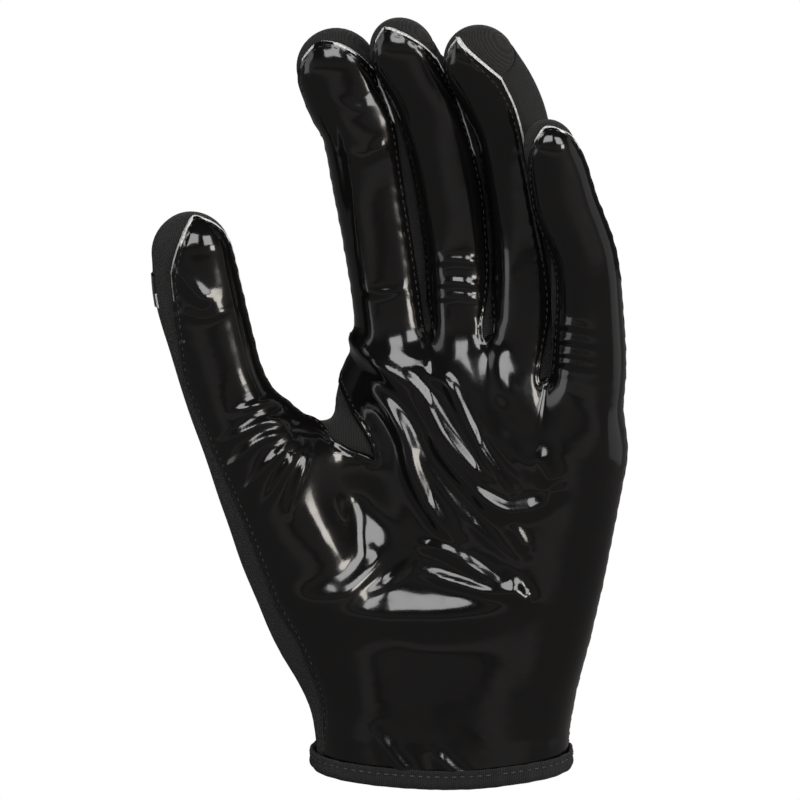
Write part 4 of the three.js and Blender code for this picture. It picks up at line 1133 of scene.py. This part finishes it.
# Ripples along the seams, the pull of their threads, and slow waves of the sheet and the cloth
RIPPLE = dict(pitch=4.6, high=0.13, depth=3.2)
THREAD_PULL = 0.22
THREAD_REACH = 0.9
SHEET_WAVE = 0.12
CLOTH_WAVE = 0.15


def tucked(far, reach=TUCK_REACH):
    """The cloth's height over the form: FABRIC_TOP less TUCK * exp(-(distance / reach) ** 2)."""
    return FABRIC_TOP - TUCK * bump_over(far, reach)


def build_panel(fronts):
    """The palm's glossy sheet: over the form by PANEL_TOP, its folds, the ripples of its seams, less
    the pull of the threads, with slow waves away from the edges."""
    grids = [fit(front.palm) for front in fronts]
    grids += [fit(front.digit, digit) for front, digit in zip(fronts, DIGITS)]
    first = SLIT_ROW * FINE + 1
    grids[1][:first, 0] = grids[0][:first, -1]
    for i in range(5):
        grids[5 + i][0] = grids[i][-1]
    sheet = weld(grids)
    rim = open_edges(sheet.faces)
    edge = loops_of(rim)[0]
    line = sheet.points[edge]
    far, which = nearest_edge(sheet.points, line)
    along = closed_length(line)[which]
    high = PANEL_TOP + fold_height(PALM_FOLDS, sheet.points) + fold_height(THUMB_FOLDS, sheet.points)
    seams = pucker(far, along, **RIPPLE) - THREAD_PULL * bump_over(far - STITCH_INSET, THREAD_REACH)
    high += smoothstep(sheet.points[:, 2], 6, 16) * seams
    high += SHEET_WAVE * noise(sheet.points, 30.0, 3) * smoothstep(far, 0, 8)
    draw = RAW_EDGE * bump_over(far, RAW_REACH)[:, None] * edge_ways(sheet, rim)[edge][which]
    pale = sheet.points[:, 2] > np.where(sheet.points[:, 0] < THUMB_SIDE, THUMB_TIP, FINGER_TIPS)
    # Near the tips' cut edge, skin that faces upwards, towards the lamps above, takes the pale core colour:
    # a painted highlight.
    lit_from_above = sheet.normals[:, 2] > 0.12
    piece = walled("palm_sheet", sheet, high, PANEL_WALL, [SHEET, CORE_AND_HIGHLIGHT], bevel=draw, pale=pale,
                   highlight_band=pale & lit_from_above & (far < HIGHLIGHT_BAND))
    return piece, sheet, edge, high


def build_back(backs, chosen, name):
    """The back's cloth. Its open edges are sunk, so that they lie under the glossy sheet's."""
    parts = ([fit(backs[i].palm) for i in chosen]
             + [fit(backs[i].digit, DIGITS[i]) for i in chosen]
             + [fit(backs[i].tip, DIGITS[i], blended=False) for i in chosen])
    n = len(chosen)
    for k in range(2 * n):
        parts[n + k][0] = parts[k][-1]
    sheet = weld(parts, flip=True)
    edge = np.concatenate([loop for loop in loops_of(open_edges(sheet.faces)) if len(loop) > SHORT_LOOP])
    far, _ = nearest_edge(sheet.points, sheet.points[edge])
    high = tucked(far) + CLOTH_WAVE * noise(sheet.points, 26.0, 5) * smoothstep(far, 1, 10)
    return walled(name, sheet, high, FABRIC_WALL, [KNIT, KNIT])


# How a strip's two halves rise to meet: half the gap they leave, the most they rise, the distances
# between them over which that fades, a further rise, and the distances from a seam over which it grows
MEET_GAP = 0.35
MEET_RISE = 1.1
MEET_FADE = (2.8, 4.2)
MEET_MORE = 0.6
MEET_EDGE = (0.8, 3.5)


def strip_grid(fronts, backs, i):
    """A side strip: down one finger's side, through the crotch and up the next one's, as one grid of
    rows from the palm's edge to the back's."""
    share = (np.arange(TIP_ROWS + 1) / TIP_ROWS)[:, None]
    halves = []
    for number, k in ((i, -1), (i + 1, 0)):
        front = fronts[number].digit[:, k]
        back = backs[number].digit[:, k]
        rows = mix(front[:, None], back[:, None], share)
        rows[0] = drop(whole, rows[0])
        rows[1:] = drop(digit_form(DIGITS[number]), rows[1:])
        rows[-1] = backs[number].tip[::-1, k]
        rows[:, 0] = front
        rows[:, -1] = back
        halves.append(rows)
    return halves


def build_strip(fronts, backs, i, name):
    """The ribbed strip between two fingers, sunk under its neighbours' edges. Where its halves lie
    within about 4 mm of each other they rise until they nearly meet, as squeezed cloth does."""
    down, up = strip_grid(fronts, backs, i)
    first = fit(down, DIGITS[i])
    second = fit(up, DIGITS[i + 1])
    second[0] = first[0]
    grid = np.concatenate([first[::-1], second[1:]])
    steps = np.linalg.norm(np.diff(grid[:, :, :3].mean(1), axis=0), axis=1)
    along = np.concatenate([[0], np.cumsum(steps)])[:, None]
    widths = np.linalg.norm(np.diff(grid[:, :, :3], axis=1), axis=2)
    across = np.concatenate([np.zeros((len(grid), 1)), np.cumsum(widths, 1)], 1)
    uv = np.stack([across, along + 0 * across], -1).reshape(-1, 2) * MM
    far = np.minimum(across, across[:, -1:] - across).ravel()
    sheet = SimpleNamespace(points=grid[..., :3].reshape(-1, 3), normals=grid[..., 3:].reshape(-1, 3),
                            faces=cells(*grid.shape[:2])[:, ::-1])
    half = len(first) * grid.shape[1]
    lower, upper = sheet.points[:half], sheet.points[half:]
    between = np.concatenate([nearest_edge(lower, upper)[0], nearest_edge(upper, lower)[0]])
    meet = np.clip(between / 2 - MEET_GAP, 0, MEET_RISE) * (1 - smoothstep(between, *MEET_FADE))
    high = tucked(far) + (meet + MEET_MORE * (meet > 0)) * smoothstep(far, *MEET_EDGE)
    return walled(name, sheet, high, FABRIC_WALL, [RIBBED, RIBBED], uv)


def gusset_grid(fronts, backs):
    """The strip between the slit's lips, from the slit's end over the web to the back."""
    left = fronts[0].palm[SLIT_ROW:WEB_ROW + 1, -1]
    right = fronts[1].palm[SLIT_ROW:WEB_ROW + 1, 0]
    share = (np.arange(5) / 4)[:, None]
    rows = drop(whole, mix(left[:, None], right[:, None], share))
    rows[:, 0] = left
    rows[:, -1] = right
    rim = rows[-1]
    end = backs[1].palm[WEB_ROW - 1, 0]
    near = 1 - np.abs(2 * share - 1)
    low = np.where(share < 0.5, rim[0], rim[-1])
    beyond = [drop(whole, mix(rim, mix(low, end, near), step)) for step in (0.5, 1.0)]
    for row in beyond:
        row[0] = rim[0]
        row[-1] = rim[-1]
    beyond[1][2] = end
    return np.concatenate([rows, np.stack(beyond)])


def build_gusset(fronts, backs):
    """The dark gusset in the slit, a little lower than its lips."""
    grid = fit(gusset_grid(fronts, backs), times=2 * FINE)
    sheet = weld([grid])
    edge = loops_of(open_edges(sheet.faces))[0]
    far, _ = nearest_edge(sheet.points, sheet.points[edge])
    high = tucked(far, 1.0)
    uv = sheet.points[:, [2, 0]] * MM
    return walled("gusset_cloth", sheet, high, FABRIC_WALL, [RIBBED, RIBBED], uv)


# The patch: its two heights as shares of GLOVE_LENGTH, its two angles from the thumb's front, its
# skin's height over the form, its wall, how far its edge is drawn back, and where its edge is pale
PATCH_RISES = (0.615, 0.655)
PATCH_ANGLES = (-118, -66)
PATCH_TOP = 0.2
PATCH_WALL = 0.7
PATCH_EDGE = 0.45
PATCH_PALE_BELOW = 151


def build_patch():
    """The small glossy patch round the thumb's outer side."""
    rises = THUMB.centres[:, 2] / GLOVE_LENGTH
    ends = np.interp(PATCH_RISES, rises, THUMB.along)
    along = np.linspace(*ends, 5)[:, None]
    angle = np.linspace(*PATCH_ANGLES, 5)[None]
    grid = fit(digit_places(THUMB, along + 0 * angle, angle + 0 * along), THUMB, blended=False)
    sheet = weld([grid])
    edges = open_edges(sheet.faces)
    loop = loops_of(edges)[0]
    far, which = nearest_edge(sheet.points, sheet.points[loop])
    draw = PATCH_EDGE * bump_over(far, 1.0)[:, None] * edge_ways(sheet, edges)[loop][which]
    return walled("thumb_patch", sheet, PATCH_TOP + 0 * far, PATCH_WALL, [SHEET, CORE_AND_HIGHLIGHT], bevel=draw,
                  pale=sheet.points[:, 2] < PATCH_PALE_BELOW)


def ring_places(z, count):
    """Places round the wrist at a height, from the back turning towards -X, with level normals."""
    angle = 180 + np.arange(count) * 360 / count
    way = turned(angle)
    spots = cast_out(whole, np.array([0.0, 0.0, z])[None], way)
    normal = outward(whole, spots) * [1, 1, 0]
    return spots, unit(normal)


# The tape's section, in millimetres out from the form and up from the hem
TAPE_PROFILE = np.array([
    (1.5, 4.35), (1.95, 3.7), (1.95, 2.7), (2.0, 1.8), (2.3, 0.4), (2.0, -0.8), (1.0, -1.7),
    (-0.9, -1.9), (-2.8, -1.6), (-3.5, -0.5), (-3.5, 1.6), (-3.4, 3.9), (-2.8, 4.35),
    (-2.25, 4.1), (-2.2, 1.6), (-1.4, -0.4), (0.3, -0.4), (0.7, 1.6), (0.8, 4.0)])
TAPE_CUTS = 3
# Small waves of the tape's outside: height, number round the wrist, phase
TAPE_WAVES = [(0.12, 23, 0.0), (0.1, 41, 1.0)]
TAPE_COLUMNS = 480


def build_tape():
    """The tape folded round the hem: its closed section, smoothed, carried round the wrist. At the
    palm's middle it dips by HEM_DIP * cos(angle) ** 2, and two small waves run along it."""
    looped = np.concatenate([TAPE_PROFILE[-2:], TAPE_PROFILE, TAPE_PROFILE[:3]])
    count = len(TAPE_PROFILE) * TAPE_CUTS
    t = (2 + np.arange(count) / TAPE_CUTS) / (len(looped) - 1)
    section = smooth_curve(looped, t)
    columns = TAPE_COLUMNS
    spots, normals = ring_places(0.0, columns)
    upper, upper_normals = ring_places(TAPE_HEIGHT, columns)
    share = np.clip(section[:, 1:2] / TAPE_HEIGHT, 0, 1)
    centre = mix(spots[:, None, :2], upper[:, None, :2], share)
    sense = unit(mix(normals[:, None], upper_normals[:, None], share))
    angle = np.pi + np.arange(columns) * 2 * np.pi / columns
    dip = HEM_DIP * np.clip(np.cos(angle), 0, None)[:, None] ** 2
    wave = sum(high * np.sin(times * angle + phase) for high, times, phase in TAPE_WAVES)
    out = section[:, 0] + wave[:, None] * (section[:, 0] > 0)
    points = np.concatenate([centre + sense[..., :2] * out[..., None],
                             (section[:, 1] - dip)[..., None]], -1)
    n = np.arange(columns * count).reshape(columns, count)
    after = np.roll(n, -1, 0)
    faces = np.stack([n, np.roll(n, -1, 1), np.roll(after, -1, 1), after], -1).reshape(-1, 4)
    around = closed_length(spots)[:, None]
    steps = closed_length(section)
    corners = [(steps[:-1], around[:-1]), (steps[1:], around[:-1]),
               (steps[1:], around[1:]), (steps[:-1], around[1:])]
    uv = np.stack([np.stack(np.broadcast_arrays(*pair), -1) for pair in corners], 2).reshape(-1, 2)
    return new_mesh("hem_tape", points.reshape(-1, 3), faces, [TAPE], uv=uv * MM)


# The hem's stitches: their height, spacing and distance out from the form, and the places worked out
HEM_STITCH_RISE = 2.6
HEM_STITCH_PITCH = 2.6
HEM_STITCH_OUT = 2.0
HEM_STITCH_PLACES = 720


def seam_threads(sheet, edge, high):
    """The row of stitches that runs inside the sheet's cut edge, all round but for the hem."""
    line = smooth_line(sheet.points[edge], 6 * FINE)
    normals = unit(smooth_line(sheet.normals[edge], 6 * FINE))
    inward = np.cross(normals, chords(line))
    path = resample(line + inward * STITCH_INSET, STITCH_PITCH)
    far, _ = nearest_edge(path, sheet.points[edge])
    inside = far > STITCH_NEAREST * STITCH_INSET
    path = path[inside & (path[:, 2] > TAPE_HEIGHT + STITCH_OVER_TAPE)]
    ways = chords(path)
    which = nearest_edge(path, sheet.points)[1]
    own = sheet.normals[which]
    base = sheet.points[which]
    lift = ((base - path) * own).sum(1)[:, None] * own
    centres = path + lift + own * (high[which] + STITCH_LIFT)[:, None]
    ways = unit(ways - (ways * own).sum(1)[:, None] * own)
    return stitches("seam_stitches", centres, ways, own, BLACK_THREAD)


def hem_threads():
    """The tape's row of stitches, below its upper edge, dipping with it."""
    spots, normals = ring_places(HEM_STITCH_RISE, HEM_STITCH_PLACES)
    angle = np.arange(HEM_STITCH_PLACES) * 2 * np.pi / HEM_STITCH_PLACES
    spots[:, 2] -= HEM_DIP * np.clip(-np.cos(angle), 0, None) ** 2
    path = resample(np.concatenate([spots, normals], 1), HEM_STITCH_PITCH)
    centres = path[:, :3] + path[:, 3:] * HEM_STITCH_OUT
    return stitches("hem_stitches", centres, chords(centres), path[:, 3:], GREY_THREAD, 1.7, 0.2)


fronts = build_fronts()
backs = build_backs(fronts)
palm, palm_sheet, palm_edge, palm_high = build_panel(fronts)
pieces = {
    "palm_panel": ([palm, seam_threads(palm_sheet, palm_edge, palm_high)], "glossy_sheet"),
    "back_panel": ([build_back(backs, [1, 2, 3, 4], "back_cloth")], "back_fabric"),
    "thumb_back": ([build_back(backs, [0], "thumb_cloth")], "back_fabric"),
    "side_strip_index_middle": ([build_strip(fronts, backs, 1, "strip_cloth_index_middle")], "side_fabric"),
    "side_strip_middle_ring": ([build_strip(fronts, backs, 2, "strip_cloth_middle_ring")], "side_fabric"),
    "side_strip_ring_little": ([build_strip(fronts, backs, 3, "strip_cloth_ring_little")], "side_fabric"),
    "thumb_gusset": ([build_gusset(fronts, backs)], "side_fabric"),
    "thumb_side_patch": ([build_patch()], "glossy_sheet"),
    "cuff_binding": ([build_tape(), hem_threads()], "binding_tape"),
}
for node, (made, slot) in pieces.items():
    for piece in made:
        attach(piece, "root")
    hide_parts(node)


# The stage: floor, air, lamps and camera

WARM_GREY = (1.0, 0.96, 0.94, 1)
FLOOR_SIZE = 4000.0
FLOOR_LEVEL = -320.0
# Lamps: name, place in metres, width and height in metres, watts and colour
LAMPS = [
    ("top_box", (-0.1, -1.08, 0.84), (0.85, 0.5), 8, (1, 1, 1)),
    ("side_box", (0.82, -0.84, 0.69), (0.52, 0.5), 5.2, (1, 1, 1)),
    ("left_box", (-1.25, -0.35, 0.4), (0.5, 1.2), 2.5, (1, 1, 1)),
    ("right_box", (1.33, 0.23, 0.1), (0.8, 1.6), 1.2, (1, 1, 1)),
    ("warm_box", (1.02, -0.75, 0.3), (0.26, 0.22), 1.9, (1.0, 0.95, 0.88)),
    ("back_box", (0.1, 1.3, 0.9), (1.2, 0.8), 18, (1, 1, 1)),
]
LAMP_AIM = Vector((0.0, 0.0, 0.12))
CAMERA_AIM = Vector((-0.0131, 0.0, 0.1153))
CAMERA_DISTANCE = 1.5
CAMERA_RISE = np.radians(9.0)
FRAME_WIDTH = 0.2497
FILM_WIDTH = 36.0


def product(tree, a, b):
    """Two values multiplied."""
    return add_node(tree, "ShaderNodeMath", {0: a, 1: b}, operation="MULTIPLY").outputs[0]


def white_or_dim(tree, kind, strength):
    """White to the camera's own rays, and a dim warm light of the given strength to all others."""
    rays = add_node(tree, "ShaderNodeLightPath")
    white = add_node(tree, kind, {"Color": (1, 1, 1, 1), "Strength": 1.0})
    dim = add_node(tree, kind, {"Color": WARM_GREY, "Strength": strength})
    return add_node(tree, "ShaderNodeMixShader", {
        0: rays.outputs["Is Camera Ray"], 1: dim.outputs[0], 2: white.outputs[0]}).outputs["Shader"]


def pale_floor():
    """The floor's cover. The glossy sheet mirrors it as a dim sweep: brightest one and a half to two
    metres in front of the glove, darker beyond, and half as bright close by."""
    material = bpy.data.materials.new("pale_floor")
    material.use_nodes = True
    tree = material.node_tree
    tree.nodes.clear()
    y = add_node(tree, "ShaderNodeSeparateXYZ", {0: own_place(tree)}).outputs["Y"]
    far = ranged(tree, y, -2.5, -1.85, 0.07, 0.25, "SMOOTHSTEP")
    near = ranged(tree, y, -1.35, -0.9, 1.0, 0.5, "SMOOTHSTEP")
    cover = white_or_dim(tree, "ShaderNodeEmission", product(tree, far, near))
    add_node(tree, "ShaderNodeOutputMaterial", {"Surface": cover})
    return material


def build_floor():
    """A wide level floor below the glove."""
    ends = [(-1, -1), (1, -1), (1, 1), (-1, 1)]
    points = [(x * FLOOR_SIZE, y * FLOOR_SIZE, FLOOR_LEVEL) for x, y in ends]
    new_mesh("floor", points, [(0, 1, 2, 3)], [pale_floor()])


def build_lamps():
    """Rectangular soft lamps, each turned to the glove's middle. The one behind only lights the back
    and isn't mirrored."""
    for name, place, size, power, colour in LAMPS:
        light = bpy.data.lights.new(name, "AREA")
        light.shape = "RECTANGLE"
        light.size, light.size_y = size
        light.energy = power
        light.color = colour
        lamp = bpy.data.objects.new(name, light)
        lamp.location = place
        lamp.rotation_euler = (LAMP_AIM - Vector(place)).to_track_quat("-Z", "Y").to_euler()
        lamp.visible_glossy = name != "back_box"
        bpy.context.scene.collection.objects.link(lamp)


def build_air():
    """The room round the glove, as it is mirrored: brightest at the horizon and dim above it, lower
    straight in front than to the sides, and darkest behind."""
    world = bpy.data.worlds.new("studio_air")
    bpy.context.scene.world = world
    world.use_nodes = True
    tree = world.node_tree
    tree.nodes.clear()
    way = add_node(tree, "ShaderNodeTexCoord").outputs["Generated"]
    parts = add_node(tree, "ShaderNodeSeparateXYZ", {0: way})
    front = ranged(tree, parts.outputs["Y"], -0.6, 0.5, 1.0, 0.12)
    above = ranged(tree, parts.outputs["Z"], 0.0, 0.36, 0.25, 0.05, "SMOOTHSTEP")
    sides = ranged(tree, parts.outputs["Y"], -0.95, -0.4, 0.6, 1.0)
    strength = product(tree, product(tree, front, above), sides)
    air = white_or_dim(tree, "ShaderNodeBackground", strength)
    add_node(tree, "ShaderNodeOutputWorld", {"Surface": air})


def build_camera():
    """A long lens in front of the palm, raised by nine degrees."""
    lens = bpy.data.cameras.new("camera")
    lens.sensor_width = FILM_WIDTH
    lens.lens = FILM_WIDTH * CAMERA_DISTANCE / FRAME_WIDTH
    lens.clip_end = 20.0
    camera = bpy.data.objects.new("camera", lens)
    away = Vector((0.0, -np.cos(CAMERA_RISE), np.sin(CAMERA_RISE)))
    camera.location = CAMERA_AIM + away * CAMERA_DISTANCE
    camera.rotation_euler = (-away).to_track_quat("-Z", "Y").to_euler()
    bpy.context.scene.collection.objects.link(camera)
    bpy.context.scene.camera = camera


build_floor()
build_lamps()
build_air()
build_camera()
bpy.context.scene.view_settings.view_transform = "Standard"
